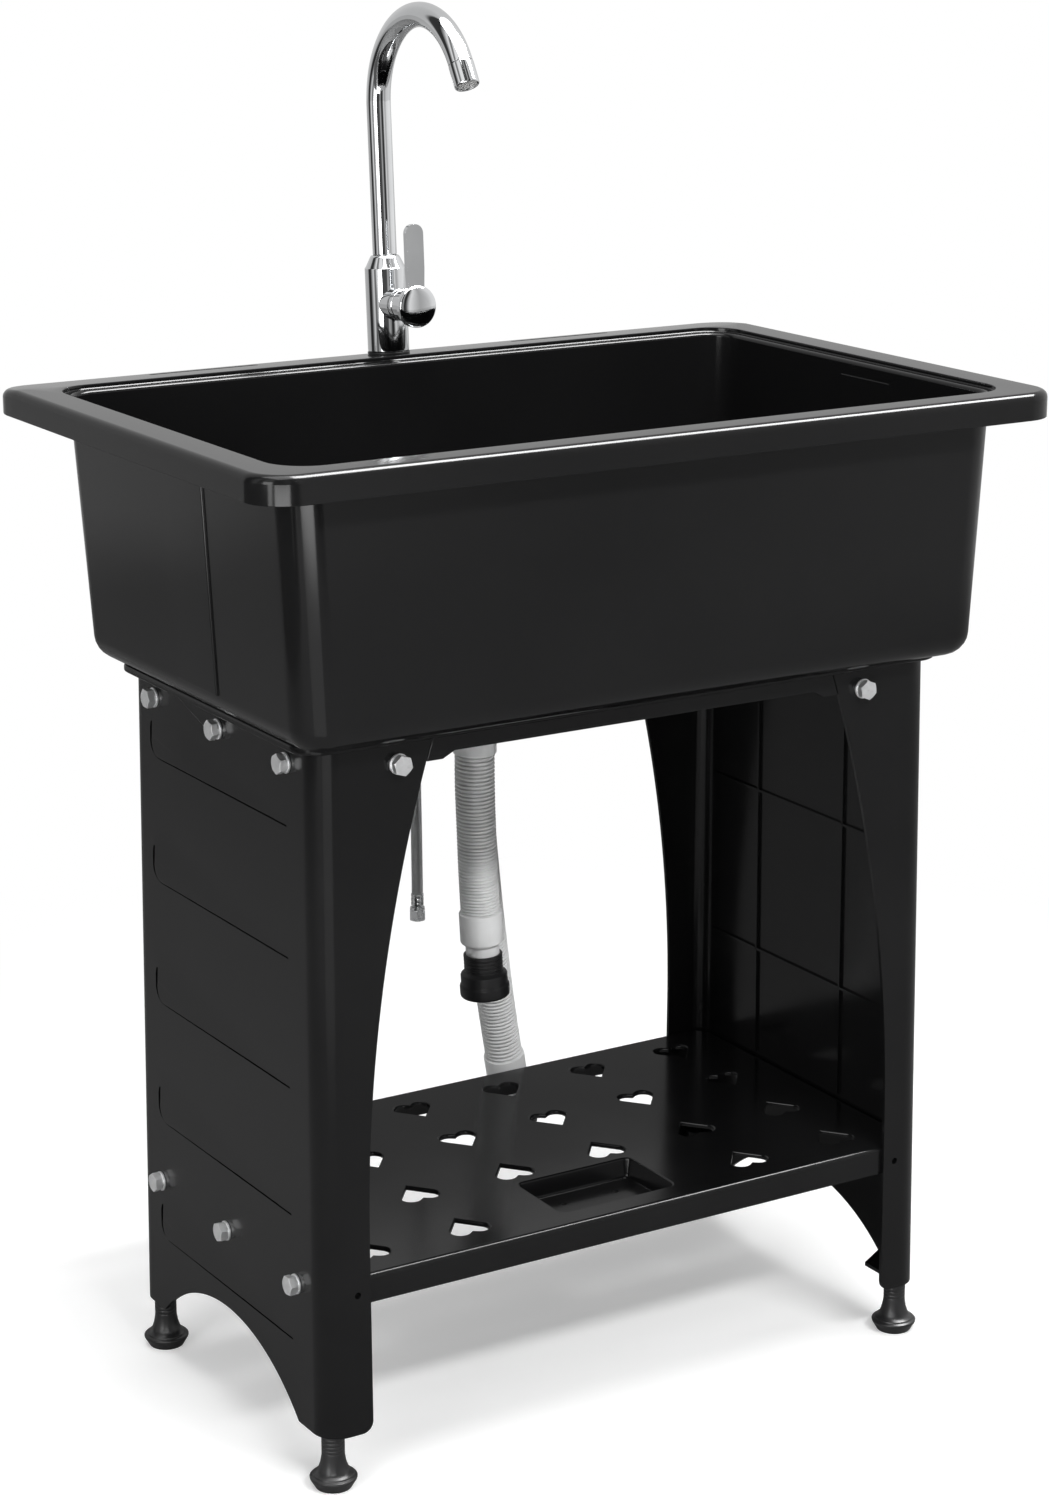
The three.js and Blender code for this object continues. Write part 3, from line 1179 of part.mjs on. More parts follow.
sink.updateMatrixWorld(true);
const hoseStart = tap.localToWorld(point(0, 0, tailBottom - FIT));
const hoseStartLow = tap.localToWorld(point(0, 0, tailBottom - FIT - 2 * SUPPLY_RADIUS));
const SUPPLY_ROUTE = [
  hoseStart.toArray(), hoseStartLow.toArray(), [0.5, 207.6, 680], [1.4, 205, 650], [2.8, 202.8, 615],
  [4.2, 201.2, 575], [5.6, 200.2, 530], [6.9, 199.6, 480], [7.9, 199.2, 430], [8.6, 199, 380],
  [8.9, 199, 345], [9, 199, 335], [9, 199, 323.5],
];

function makeSupplyHose() {
  const curve = curveThrough(SUPPLY_ROUTE);
  const steps = Math.round(curve.getLength() / (5 * SUPPLY_RADIUS));
  const rings = Array.from({ length: steps + 1 }, (_, i) => hoseRing(curve, i / steps, SUPPLY_RADIUS, 10));
  return loft(rings);
}

piece('supply_hose', makeSupplyHose(), stainless);
const [unionX, unionY, unionTop] = SUPPLY_ROUTE[SUPPLY_ROUTE.length - 1];
const union = new THREE.Group();
union.position.set(unionX, unionY, unionTop - FIT);
stand.add(union);
piece('supply_ferrule', turned([
  [0, 0], [FERRULE_RADIUS - 0.5, 0], [FERRULE_RADIUS, -0.8], [FERRULE_RADIUS, -FERRULE_LENGTH + 4],
  [FERRULE_RADIUS - 1, -FERRULE_LENGTH + 3], [FERRULE_RADIUS - 1, -FERRULE_LENGTH], [0, -FERRULE_LENGTH],
], 12), zinc, union);
const unionStart = -FERRULE_LENGTH - FIT;
piece('supply_union', carve(
  fuse(
    solid(hexagon(UNION_FLATS, unionStart - UNION_LENGTH, unionStart)),
    solid(rod(FERRULE_RADIUS + 0.8, unionStart - 0.5, unionStart + 2.4, 12)),
  ),
  solid(rod(FERRULE_RADIUS - 1 + FIT, unionStart - 0.2, unionStart + 3, 12)),
  solid(rod(UNION_FLATS / 2 - 1.6, unionStart - UNION_LENGTH - 1, unionStart - 2, 10)),
), zinc, union);

// ---------------------------------------------------------------- origin

// On the floor, under the middle of the object without its hoses
const loose = /hose|supply/;
const bounds = new THREE.Box3();
sink.updateMatrixWorld(true);
sink.traverse((mesh) => {
  if (mesh.isMesh && !loose.test(mesh.name)) bounds.expandByObject(mesh, true);
});
sink.position.y = -(bounds.min.y + bounds.max.y) / 2;

export default sink;
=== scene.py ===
# %% [markdown]
# # A utility laundry sink
#
# A black moulded tub stands on a bolted plastic stand with a shelf. A chrome tap with a swivel
# spout stands on its deck, and two ribbed drain hoses and a braided supply hose hang below.
# The measured model of the same sink is loaded first. It is the frame: every piece made here
# lies exactly where the measured solid lies, so nothing has to be fitted by eye.

# %% Load the measured model
import json
import math
import bmesh
import bpy
from mathutils import Matrix, Vector

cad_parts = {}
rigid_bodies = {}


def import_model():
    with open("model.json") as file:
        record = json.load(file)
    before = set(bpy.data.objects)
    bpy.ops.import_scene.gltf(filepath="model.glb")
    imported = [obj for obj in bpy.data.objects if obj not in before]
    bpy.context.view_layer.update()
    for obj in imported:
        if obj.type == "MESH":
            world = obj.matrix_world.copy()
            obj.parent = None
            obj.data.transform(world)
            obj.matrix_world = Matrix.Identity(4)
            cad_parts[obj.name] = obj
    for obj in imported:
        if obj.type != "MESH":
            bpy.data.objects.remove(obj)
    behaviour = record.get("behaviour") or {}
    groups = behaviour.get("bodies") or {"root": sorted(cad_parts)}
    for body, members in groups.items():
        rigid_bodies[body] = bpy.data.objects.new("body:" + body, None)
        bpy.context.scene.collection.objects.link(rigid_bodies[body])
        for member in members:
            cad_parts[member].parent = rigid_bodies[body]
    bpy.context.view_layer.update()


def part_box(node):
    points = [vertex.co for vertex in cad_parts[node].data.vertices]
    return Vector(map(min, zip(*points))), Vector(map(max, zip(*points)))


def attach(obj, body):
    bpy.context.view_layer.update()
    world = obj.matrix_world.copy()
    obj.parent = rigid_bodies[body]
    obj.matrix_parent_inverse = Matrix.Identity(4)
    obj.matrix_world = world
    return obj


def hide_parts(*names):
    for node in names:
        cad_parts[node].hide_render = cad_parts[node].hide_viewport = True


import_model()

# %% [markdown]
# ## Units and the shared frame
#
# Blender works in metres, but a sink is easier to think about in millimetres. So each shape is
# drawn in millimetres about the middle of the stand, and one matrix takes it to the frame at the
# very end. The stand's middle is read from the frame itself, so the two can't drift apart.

MM = 0.001
frame_low, frame_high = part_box("upper_frame")
stand_y = (frame_low[1] + frame_high[1]) / 2
TO_FRAME = Matrix.Translation((0, stand_y, 0)) @ Matrix.Scale(MM, 4)

# %% [markdown]
# ## Camera
#
# The camera was solved from straight edges of the sink in the photograph: the four feet, the rim
# and the edges of the stand fix its place, its aim and its lens. It stands a little to the left
# and looks slightly down through a long lens, which keeps the upright edges almost parallel.

# %% The camera
camera = bpy.data.objects.new("camera", bpy.data.cameras.new("camera"))
bpy.context.scene.collection.objects.link(camera)
bpy.context.scene.camera = camera
camera.location = (-1.3327, -2.17814, 1.2012)
camera.rotation_euler = (math.radians(90 - 15.456), 0, math.radians(-31.496))
camera.data.sensor_fit = "AUTO"
camera.data.sensor_width = 36
camera.data.lens = 81.52
camera.data.clip_end = 60
print("camera", round(camera.data.lens, 1), "mm")

# %% [markdown]
# ## Colours and finishes
#
# Every finish starts as one Principled shader with its own colour and gloss. Real plastic is
# never quite even, so a soft, wide noise shifts the colour and the roughness a little, and a fine
# noise gives the surface its grain through a bump. Both read Object coordinates, in metres, so
# a scale of 400 makes grains of about two millimetres whatever the piece.

# %% A helper that links nodes, and one that makes a finish
def node(tree, kind, **values):
    """Adds a node. Another node's output is linked in, and any other value is set."""
    made = tree.nodes.new(kind)
    for key, value in values.items():
        plug = key.replace("_", " ")
        if plug not in made.inputs:
            setattr(made, key, value)
        elif isinstance(value, bpy.types.NodeSocket):
            tree.links.new(value, made.inputs[plug])
        else:
            made.inputs[plug].default_value = value
    return made


def new_material(name):
    material = bpy.data.materials.new(name)
    material.use_nodes = True
    return material, material.node_tree


CLOUD_RANGE = 0.35, 0.65


def finish(name, dark, light, rough, metal=0.0, wide=7.0, fine=500.0, bump=0.05, depth=0.0002,
           **shader_values):
    """A finish that wanders between two colours and two roughnesses, with a fine grain."""
    material, tree = new_material("look_" + name)
    shader = tree.nodes["Principled BSDF"]
    shader.inputs["Metallic"].default_value = metal
    for key, value in shader_values.items():
        shader.inputs[key.replace("_", " ")].default_value = value
    place = node(tree, "ShaderNodeTexCoord").outputs["Object"]
    clouds = node(tree, "ShaderNodeTexNoise", Scale=wide, Detail=3.0, Roughness=0.5, Vector=place)
    grain = node(tree, "ShaderNodeTexNoise", Scale=fine, Detail=2.0, Roughness=0.6, Vector=place)
    colour = node(tree, "ShaderNodeValToRGB", Fac=clouds.outputs["Fac"])
    for stop, position, shade in zip(colour.color_ramp.elements, CLOUD_RANGE, (dark, light)):
        stop.position = position
        stop.color = (*shade, 1)
    gloss = node(tree, "ShaderNodeMapRange", From_Min=CLOUD_RANGE[0], From_Max=CLOUD_RANGE[1],
                 To_Min=rough[0], To_Max=rough[1], Value=clouds.outputs["Fac"])
    relief = node(tree, "ShaderNodeBump", Strength=bump, Distance=depth,
                  Height=grain.outputs["Fac"])
    tree.links.new(colour.outputs["Color"], shader.inputs["Base Color"])
    tree.links.new(gloss.outputs["Result"], shader.inputs["Roughness"])
    tree.links.new(relief.outputs["Normal"], shader.inputs["Normal"])
    return material


# %% [markdown]
# The tub is moulded in glossy black plastic, the stand in the same plastic with a duller skin.
# The hoses are soft pale grey polyethylene. The rubber pieces hardly shine at all. Metals differ
# mostly in how sharp their reflections are: chrome is a mirror, zinc plate is milky.

# %% The finishes of this sink
tub_black = finish("tub_black", (0.0058, 0.0058, 0.006), (0.0072, 0.0072, 0.0074), (0.1, 0.15),
                   wide=5.0, fine=260.0, bump=0.02, Specular_IOR_Level=0.3)
stand_black = finish("stand_black", (0.0042, 0.0042, 0.0044), (0.0058, 0.0058, 0.006),
                     (0.15, 0.22), wide=9.0, fine=420.0, bump=0.03, Specular_IOR_Level=0.3)
foot_black = finish("foot_black", (0.014, 0.014, 0.0145), (0.022, 0.022, 0.0225), (0.3, 0.4),
                    wide=40.0, fine=900.0, bump=0.08, Specular_IOR_Level=0.5)
black_rubber = finish("black_rubber", (0.011, 0.011, 0.0115), (0.017, 0.017, 0.0175),
                      (0.34, 0.45), wide=30.0, fine=1400.0, bump=0.06, Specular_IOR_Level=0.4)
white_plastic = finish("white_plastic", (0.76, 0.76, 0.75), (0.82, 0.82, 0.81), (0.3, 0.4),
                       wide=20.0, fine=700.0)
hose_plastic = finish("hose_plastic", (0.74, 0.745, 0.745), (0.82, 0.825, 0.825), (0.3, 0.4),
                      wide=24.0, fine=600.0, bump=0.05)
grey_plastic = finish("grey_plastic", (0.24, 0.25, 0.26), (0.29, 0.3, 0.31), (0.4, 0.5),
                      wide=40.0)
tap_chrome = finish("tap_chrome", (0.78, 0.79, 0.8), (0.84, 0.85, 0.86), (0.03, 0.06), metal=1.0,
                    wide=30.0, fine=300.0, bump=0.004)
bolt_zinc = finish("bolt_zinc", (0.9, 0.905, 0.91), (0.96, 0.965, 0.97), (0.36, 0.46), metal=0.9,
                   wide=160.0, fine=1600.0, bump=0.08)
fitting_zinc = finish("fitting_zinc", (0.66, 0.67, 0.68), (0.78, 0.79, 0.8), (0.18, 0.3),
                      metal=1.0, wide=120.0, fine=900.0, bump=0.05)
strainer_steel = finish("strainer_steel", (0.52, 0.53, 0.54), (0.6, 0.61, 0.62), (0.16, 0.28),
                        metal=1.0, wide=60.0, fine=900.0, bump=0.05)
brass = finish("brass", (0.5, 0.36, 0.13), (0.62, 0.46, 0.19), (0.22, 0.34), metal=1.0, wide=80.0,
               fine=800.0, bump=0.05)
print("finishes:", len(bpy.data.materials))

# %% [markdown]
# ## Turning and lofting
#
# Most small parts of a sink are turned: a half profile is spun once round Z. The moulded parts
# are lofts: a stack of level rings, each a rectangle with round corners, with a skin bridged from
# ring to ring. Boolean cuts make the holes, as a moulding tool's pins do.

# %% Small helpers that every shape uses
def add_object(name, data):
    made = bpy.data.objects.new(name, data)
    bpy.context.scene.collection.objects.link(made)
    return made


def to_mesh(name, bm):
    """A mesh with the shape in it; the shape is used up."""
    mesh = bpy.data.meshes.new(name)
    bm.to_mesh(mesh)
    bm.free()
    return mesh


def take_in(bm, other):
    """Adds another shape to this one."""
    mesh = to_mesh("part", other)
    bm.from_mesh(mesh)
    bpy.data.meshes.remove(mesh)


def outwards(bm):
    bmesh.ops.recalc_face_normals(bm, faces=bm.faces)
    return bm


def soften(bm, geom, offset, segments=2, affect="EDGES"):
    bmesh.ops.bevel(bm, geom=geom, offset=offset, affect=affect, segments=segments, profile=0.5,
                    material=-1)


def slice_at(bm, point, normal, **options):
    bmesh.ops.bisect_plane(bm, geom=bm.verts[:] + bm.edges[:] + bm.faces[:], plane_co=point,
                           plane_no=normal, **options)


def pull(bm, way):
    """Pulls all faces one way into a solid; returns the new corners."""
    pulled = bmesh.ops.extrude_face_region(bm, geom=bm.faces[:])["geom"]
    corners = [v for v in pulled if isinstance(v, bmesh.types.BMVert)]
    bmesh.ops.translate(bm, vec=way, verts=corners)
    return corners


# %% Turned shapes
def at(height, *points):
    """Pairs of radius and height, with the heights counted from a level."""
    return [(radius, height + up) for radius, up in points]


def lathe(profile, steps=48, closed=False):
    """Spins pairs of radius and height once round Z; a closed profile leaves a hole through."""
    bm = bmesh.new()
    verts = [bm.verts.new((radius, 0, height)) for radius, height in profile]
    edges = [bm.edges.new(pair) for pair in zip(verts, verts[1:])]
    if closed:
        edges.append(bm.edges.new((verts[-1], verts[0])))
    bmesh.ops.spin(bm, geom=verts + edges, axis=(0, 0, 1), cent=(0, 0, 0), angle=2 * math.pi,
                   steps=steps, use_merge=True)
    bmesh.ops.remove_doubles(bm, verts=bm.verts, dist=1e-4)
    return outwards(bm)


def rod(radius, low, high, steps=48):
    return lathe([(0, low), (radius, low), (radius, high), (0, high)], steps)


def tube(inner, outer, low, high, steps=48):
    return lathe([(inner, low), (outer, low), (outer, high), (inner, high)], steps, closed=True)


# %% Rings, skins and blocks
def add_ring(bm, half_x, front, back, radius, z, corner_steps=8):
    """A level rectangle with round corners; returns its edges."""
    small = bmesh.new()
    bmesh.ops.create_grid(small, x_segments=1, y_segments=1, size=1)
    stretch = Matrix.Diagonal((half_x, (front + back) / 2, 1, 1))
    bmesh.ops.transform(small, matrix=Matrix.Translation((0, (back - front) / 2, z)) @ stretch,
                        verts=small.verts)
    soften(small, small.verts[:], radius, corner_steps, "VERTICES")
    bmesh.ops.delete(small, geom=small.faces[:], context="FACES_ONLY")
    count = len(bm.edges)
    take_in(bm, small)
    bm.edges.ensure_lookup_table()
    return bm.edges[count:]


APART = 40.0


def skin(bm, rings, ends=True):
    """Bridges each ring to the next, held well apart meanwhile, and closes the two ends."""
    levels = {}
    for step, ring in enumerate(rings):
        for vert in {v for edge in ring for v in edge.verts}:
            levels[vert] = vert.co.z
            vert.co.z = APART * step
    for first, second in zip(rings, rings[1:]):
        bmesh.ops.bridge_loops(bm, edges=first + second)
    for vert, z in levels.items():
        vert.co.z = z
    if ends:
        bmesh.ops.edgeloop_fill(bm, edges=rings[0])
        bmesh.ops.edgeloop_fill(bm, edges=rings[-1])
    return outwards(bm)


def slab(half_x, front, back, radius, levels, corner_steps=8):
    """A block with round corners through some levels."""
    bm = bmesh.new()
    return skin(bm, [add_ring(bm, half_x, front, back, radius, z, corner_steps) for z in levels])


def block(low, high, edge=0.0):
    """A box between two corners, with its edges rounded."""
    bm = bmesh.new()
    bmesh.ops.create_cube(bm, size=1)
    size = [b - a for a, b in zip(low, high)]
    middle = [(a + b) / 2 for a, b in zip(low, high)]
    bmesh.ops.transform(bm, matrix=Matrix.Translation(middle) @ Matrix.Diagonal((*size, 1)),
                        verts=bm.verts)
    if edge:
        soften(bm, bm.edges[:], edge)
    return bm


def prism(outline, low, high, upright=False):
    """An outline pulled straight: along Z, or along Y where it is drawn in x and z."""
    bm = bmesh.new()
    bm.faces.new([bm.verts.new((a, low, b) if upright else (a, b, low)) for a, b in outline])
    pull(bm, (0, high - low, 0) if upright else (0, 0, high - low))
    return outwards(bm)


# %% Joining and cutting shapes
def move(bm, matrix):
    bmesh.ops.transform(bm, matrix=matrix, verts=bm.verts)
    return bm


def shift(x=0, y=0, z=0):
    return Matrix.Translation((x, y, z))


def turn(degrees, axis):
    return Matrix.Rotation(math.radians(degrees), 4, axis)


def gather(*shapes):
    """Puts shapes side by side, or one through another, in one mesh."""
    bm = shapes[0]
    for other in shapes[1:]:
        take_in(bm, other)
    return bm


def combine(bm, other, operation):
    """A boolean of two shapes, worked out at once; both are used up."""
    helpers = [add_object("helper", to_mesh("helper", shape)) for shape in (bm, other)]
    boolean = helpers[0].modifiers.new("boolean", "BOOLEAN")
    boolean.operation = operation
    boolean.solver = "EXACT"
    boolean.use_self = True
    boolean.object = helpers[1]
    graph = bpy.context.evaluated_depsgraph_get()
    result = bpy.data.meshes.new_from_object(helpers[0].evaluated_get(graph))
    made = bmesh.new()
    made.from_mesh(result)
    bpy.data.meshes.remove(result)
    for helper in helpers:
        mesh = helper.data
        bpy.data.objects.remove(helper)
        bpy.data.meshes.remove(mesh)
    return made


def cut(bm, *others):
    for other in others:
        bm = combine(bm, other, "DIFFERENCE")
    return bm


def fuse(bm, other):
    return combine(bm, other, "UNION")


def hexagon(across, low, high, corners):
    """A hexagonal bar whose corners are taken off by a turned shape."""
    return combine(rod(across / math.sqrt(3), low, high, 6), lathe(corners), "INTERSECT")


def round_about(count, shape, place=Matrix(), first=0):
    """Copies of a shape made by a function, spaced evenly round Z."""
    return [move(shape(), turn(360 / count * i + first, "Z") @ place) for i in range(count)]


# %% Turning a shape into a finished piece
def finished(name, bm, material, nodes, body="stand", place=Matrix(), bevel=0.0, sharp=35,
             flat=True):
    """Takes a shape to the frame, gives it its finish and hides the solids it stands for."""
    move(bm, TO_FRAME @ place)
    mesh = to_mesh(name, bm)
    mesh.materials.append(material)
    mesh.shade_smooth()
    mesh.set_sharp_from_angle(angle=math.radians(sharp))
    piece = add_object(name, mesh)
    if bevel:
        edge = piece.modifiers.new("rounded edges", "BEVEL")
        edge.width = bevel * MM
        edge.segments = 2
        edge.limit_method = "ANGLE"
        edge.angle_limit = math.radians(40)
        edge.harden_normals = True
        edge.use_clamp_overlap = True
    if flat:
        flats = piece.modifiers.new("flat faces stay flat", "WEIGHTED_NORMAL")
        flats.keep_sharp = True
    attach(piece, body)
    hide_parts(*nodes)
    print(f"{name}: {len(mesh.polygons)} faces")
    return piece


# %% [markdown]
# ## The routes of the hoses
#
# A hose is a fixed length of something springy. Its route is a few points through which a smooth
# curve runs: straight out of the waste, down under its own weight, and for the longer hose out
# over the back edge of the shelf. The curve is a centripetal Catmull-Rom curve, which passes
# through every point and never loops between them.

# %% A smooth curve through a route's points
def through(points, spacing=1.0):
    """Points about a millimetre apart on the smooth curve through a route."""
    route = [Vector(p) for p in points]
    route = [2 * route[0] - route[1], *route, 2 * route[-1] - route[-2]]
    line = []
    for p0, p1, p2, p3 in zip(route, route[1:], route[2:], route[3:]):
        t0, t1, t2 = (math.sqrt((b - a).length) for a, b in ((p0, p1), (p1, p2), (p2, p3)))
        out = ((p1 - p0) / t0 - (p2 - p0) / (t0 + t1) + (p2 - p1) / t1) * t1
        into = ((p2 - p1) / t1 - (p3 - p1) / (t1 + t2) + (p3 - p2) / t2) * t1
        steps = max(2, round((p2 - p1).length / spacing))
        for i in range(steps):
            t = i / steps
            line.append(p1 * (2 * t**3 - 3 * t**2 + 1) + out * (t**3 - 2 * t**2 + t)
                        + p2 * (3 * t**2 - 2 * t**3) + into * (t**3 - t**2))
    return [*line, route[-2]]


def lengths(line):
    total = [0.0]
    for a, b in zip(line, line[1:]):
        total.append(total[-1] + (b - a).length)
    return total


def bend_along(bm, line):
    """Lays a straight shape, drawn along Z, on a line."""
    total = lengths(line)
    step = 0
    for vert in sorted(bm.verts, key=lambda v: v.co.z):
        while step < len(line) - 2 and total[step + 1] < vert.co.z:
            step += 1
        share = (vert.co.z - total[step]) / (total[step + 1] - total[step])
        centre = line[step].lerp(line[step + 1], share)
        last, next_one = max(step - 1, 0), min(step + 1, len(line) - 2)
        before, here, after = (line[i] - line[i + 1] for i in (last, step, next_one))
        aim = here.lerp(after, share) if share > 0.5 else here.lerp(before, 0.5 - share)
        along = -aim.normalized()
        side = Vector((0, 1, 0)).cross(along).normalized()
        vert.co = centre + side * vert.co.x + along.cross(side) * vert.co.y
    return bm


def wrap_map(bm, around=1.0, along=0.1):
    """A UV map for a straight hose: u once round it, v up its length."""
    layer = bm.loops.layers.uv.new("wrap")
    for face in bm.faces:
        middle = face.calc_center_median()
        base = math.atan2(middle.y, middle.x)
        for loop in face.loops:
            co = loop.vert.co
            angle = math.atan2(co.y, co.x)
            while angle - base > math.pi:
                angle -= 2 * math.pi
            while angle - base < -math.pi:
                angle += 2 * math.pi
            loop[layer].uv = (around * angle / (2 * math.pi), along * co.z)
    return bm


# %% [markdown]
# ## The drain hoses
#
# Each drain hose is blown from one tube of polyethylene: a plain collar at the top, which pushes
# over the waste's spigot, then close ribs that let it bend, then a plain sleeve that necks down
# at its end. So it is one turned profile, spun straight and then bent along its route. The
# photograph shows the front hose from end to end: 133 mm of ribs between its collar and sleeve.

# %% Sizes of the drain hoses
COLLAR_TOP = 510.71
COLLAR_LENGTH = 31.0
RIB_RADIUS = 16.0
VALLEY_RADIUS = 14.2
HOSE_BORE = 12.6
RIB_STEPS, RIB_FLATNESS = 8, 1.35
SLEEVE_LENGTH = 28.0
NECK_VISIBLE = 8.0
NECK_HIDDEN = 10.0
FRONT_ROUTE = [(-11.7, 68.2, 479.71), (-11.7, 68.2, 464), (-11.5, 68.2, 448), (-10.9, 68.2, 428),
               (-10.0, 68.2, 404), (-9.0, 68.2, 380), (-8.0, 68.2, 362), (-7.1, 68.2, 347)]
REAR_ROUTE = [(11.7, 108.8, 479.71), (11.7, 108.8, 464), (12.2, 109.6, 446), (14.6, 112.6, 424),
              (20.5, 119.6, 394), (31, 131.5, 354), (42.6, 144.4, 314), (53.6, 155.4, 275),
              (62.6, 163.6, 240), (69.9, 168.8, 210), (77.9, 172.9, 175)]


# %% One drain hose, from its route
def hose_profile(ribs_length, first_pitch, last_pitch):
    """Radius and distance from the collar's top: collar, ribs, sleeve, neck, and the bore back."""
    bore_in_collar = 13.3
    profile = [(bore_in_collar, 0), (16.7, 0), (17.3, 0.35), (17.5, 1.0),
               *at(COLLAR_LENGTH, (17.5, -1.4), (17.2, -0.7), (16.6, -0.3), (14.9, -0.2))]
    ribs = round(2 * ribs_length / (first_pitch + last_pitch))
    middle, half = (RIB_RADIUS + VALLEY_RADIUS) / 2, (RIB_RADIUS - VALLEY_RADIUS) / 2
    pitches = [first_pitch + (last_pitch - first_pitch) * (i + 0.5) / ribs for i in range(ribs)]
    scale = ribs_length / sum(pitches)
    end = COLLAR_LENGTH
    for pitch in pitches:
        for k in range(RIB_STEPS):
            swell = max(-1, min(1, -RIB_FLATNESS * math.cos(2 * math.pi * k / RIB_STEPS)))
            profile.append((middle + half * swell, end + pitch * scale * k / RIB_STEPS))
        end += pitch * scale
    sleeve, neck = end + SLEEVE_LENGTH, end + SLEEVE_LENGTH + NECK_VISIBLE + NECK_HIDDEN
    profile += [*at(end, (14.8, 0.2), (16.7, 0.35), (17.3, 0.8), (17.5, 1.5)),
                *at(sleeve, (17.5, -3.4), (17.2, -2.4), (16.2, -1.3), (14.7, -0.5), (14, 0.3),
                    (13.7, 1.2)),
                *at(neck, (13.7, -0.6), (13.3, 0), (11.6, 0)),
                *at(end, (11.6, 1), (HOSE_BORE, -1))]
    profile += [(HOSE_BORE, COLLAR_LENGTH + share * ribs_length) for share in (0.8, 0.6, 0.4, 0.2)]
    profile += [(HOSE_BORE, COLLAR_LENGTH + 1), (bore_in_collar, COLLAR_LENGTH - 2)]
    return profile


def drain_hose(name, route, pitches, nodes, adapter_node):
    curve = through(route)
    ribs_length = lengths(curve)[-1]
    top = curve[0] + Vector((0, 0, COLLAR_TOP - curve[0].z))
    ending = (curve[-1] - curve[-2]).normalized()
    reach = SLEEVE_LENGTH + NECK_VISIBLE + NECK_HIDDEN
    tail = [curve[-1] + ending * (reach * i / 12) for i in range(1, 13)]
    line = [top.lerp(curve[0], i / 8) for i in range(8)] + curve + tail
    hose = wrap_map(lathe(hose_profile(ribs_length, *pitches), 40, closed=True))
    piece = finished(name, bend_along(hose, line), hose_plastic, nodes, flat=False)
    neck_rings = [(15.8 - inward, ring + up) for ring in (2.6, 5.6, 8.6, 11.6)
                  for up, inward in ((0, 0), (0.5, 0.6), (1.0, 0.6), (1.5, 0.05))]
    adapter = lathe([
        (13.9, 0), (15.3, 0), (15.7, 0.4), (15.8, 1.0), *neck_rings, (15.7, 14.2), (16.6, 15.4),
        (18.4, 16.6), (19.0, 17.6), (19.0, 24.6), (19.4, 25.6), (20.1, 26.6), (20.2, 27.4),
        (20.2, 33.8), (19.9, 35.2), (19.2, 36.0), (17.6, 36.0), (17.2, 35.6), (17.2, 21.0),
        (16.6, 19.4), (14.4, 18.2), (13.9, 17.6),
    ], 48, closed=True)
    start = curve[-1] + ending * (SLEEVE_LENGTH + NECK_VISIBLE)
    stood = Matrix.Translation(start) @ ending.to_track_quat("Z", "Y").to_matrix().to_4x4()
    end_piece = finished(name + "_end", adapter, black_rubber, [adapter_node], place=stood)
    return piece


# %% The two drain hoses
drain_hose("short_waste_hose", FRONT_ROUTE, (3.3, 2.6),
           ["front_hose_collar", "front_drain_hose", "front_hose_sleeve"], "front_hose_adapter")
drain_hose("long_waste_hose", REAR_ROUTE, (3.6, 3.6),
           ["rear_hose_collar", "rear_drain_hose", "rear_hose_sleeve"], "rear_hose_adapter")

# %% [markdown]
# ## The supply hose
#
# The water comes through a thin hose in a braid of stainless steel wire. The braid is a pattern
# on the hose's own UV map: two families of slanting strands, one over the other in turn, with a
# bump that rounds each strand. A map of its own lets the strands follow the hose round its bends.

# %% The braid's finish
STRANDS = 1.8


def braid_finish():
    material, tree = new_material("look_braided_steel")
    shader = tree.nodes["Principled BSDF"]
    shader.inputs["Metallic"].default_value = 0.9
    shader.inputs["Roughness"].default_value = 0.3
    place = node(tree, "ShaderNodeTexCoord").outputs["UV"]

    def slanted(slope, kind):
        slant = node(tree, "ShaderNodeMapping", Rotation=(0, 0, math.radians(slope)), Vector=place)
        return node(tree, kind, Scale=STRANDS, Vector=slant.outputs["Vector"]).outputs["Fac"]

    one_way, other_way = (slanted(slope, "ShaderNodeTexWave") for slope in (45, -45))
    over = node(tree, "ShaderNodeMix", data_type="FLOAT", A=one_way, B=other_way,
                Factor=slanted(45, "ShaderNodeTexChecker")).outputs["Result"]
    colour = node(tree, "ShaderNodeValToRGB", Fac=over)
    colour.color_ramp.elements[0].color = (0.16, 0.16, 0.165, 1)
    colour.color_ramp.elements[1].color = (0.94, 0.945, 0.95, 1)
    colour.color_ramp.elements[1].position = 0.6
    relief = node(tree, "ShaderNodeBump", Strength=0.7, Distance=0.0004, Height=over)
    tree.links.new(colour.outputs["Color"], shader.inputs["Base Color"])
    tree.links.new(relief.outputs["Normal"], shader.inputs["Normal"])
    return material


braided_steel = braid_finish()

# %% The supply hose and its fittings
TAP_Y = 222.0
TAP_LEAN = 3.6
DECK_START = 196.0
DECK_FALL = math.tan(math.radians(4.4))
RIM_TOP = 780.0
tap_base = shift(0, TAP_Y, RIM_TOP - (TAP_Y - DECK_START) * DECK_FALL) @ turn(-TAP_LEAN, "X")
SUPPLY_RADIUS = 4.75
SHANK_BOTTOM = -40.0
TAIL_BOTTOM = SHANK_BOTTOM - 24.0
supply_start = tap_base @ Vector((0, 0, TAIL_BOTTOM - 0.3))
supply_low = tap_base @ Vector((0, 0, TAIL_BOTTOM - 0.3 - 2 * SUPPLY_RADIUS))
SUPPLY_ROUTE = [tuple(supply_start), tuple(supply_low), (0.5, 207.6, 680), (1.4, 205, 650),
                (2.8, 202.8, 615), (4.2, 201.2, 575), (5.6, 200.2, 530), (6.9, 199.6, 480),
                (7.9, 199.2, 430), (8.6, 199, 380), (8.9, 199, 345), (9, 199, 335), (9, 199, 323.5)]
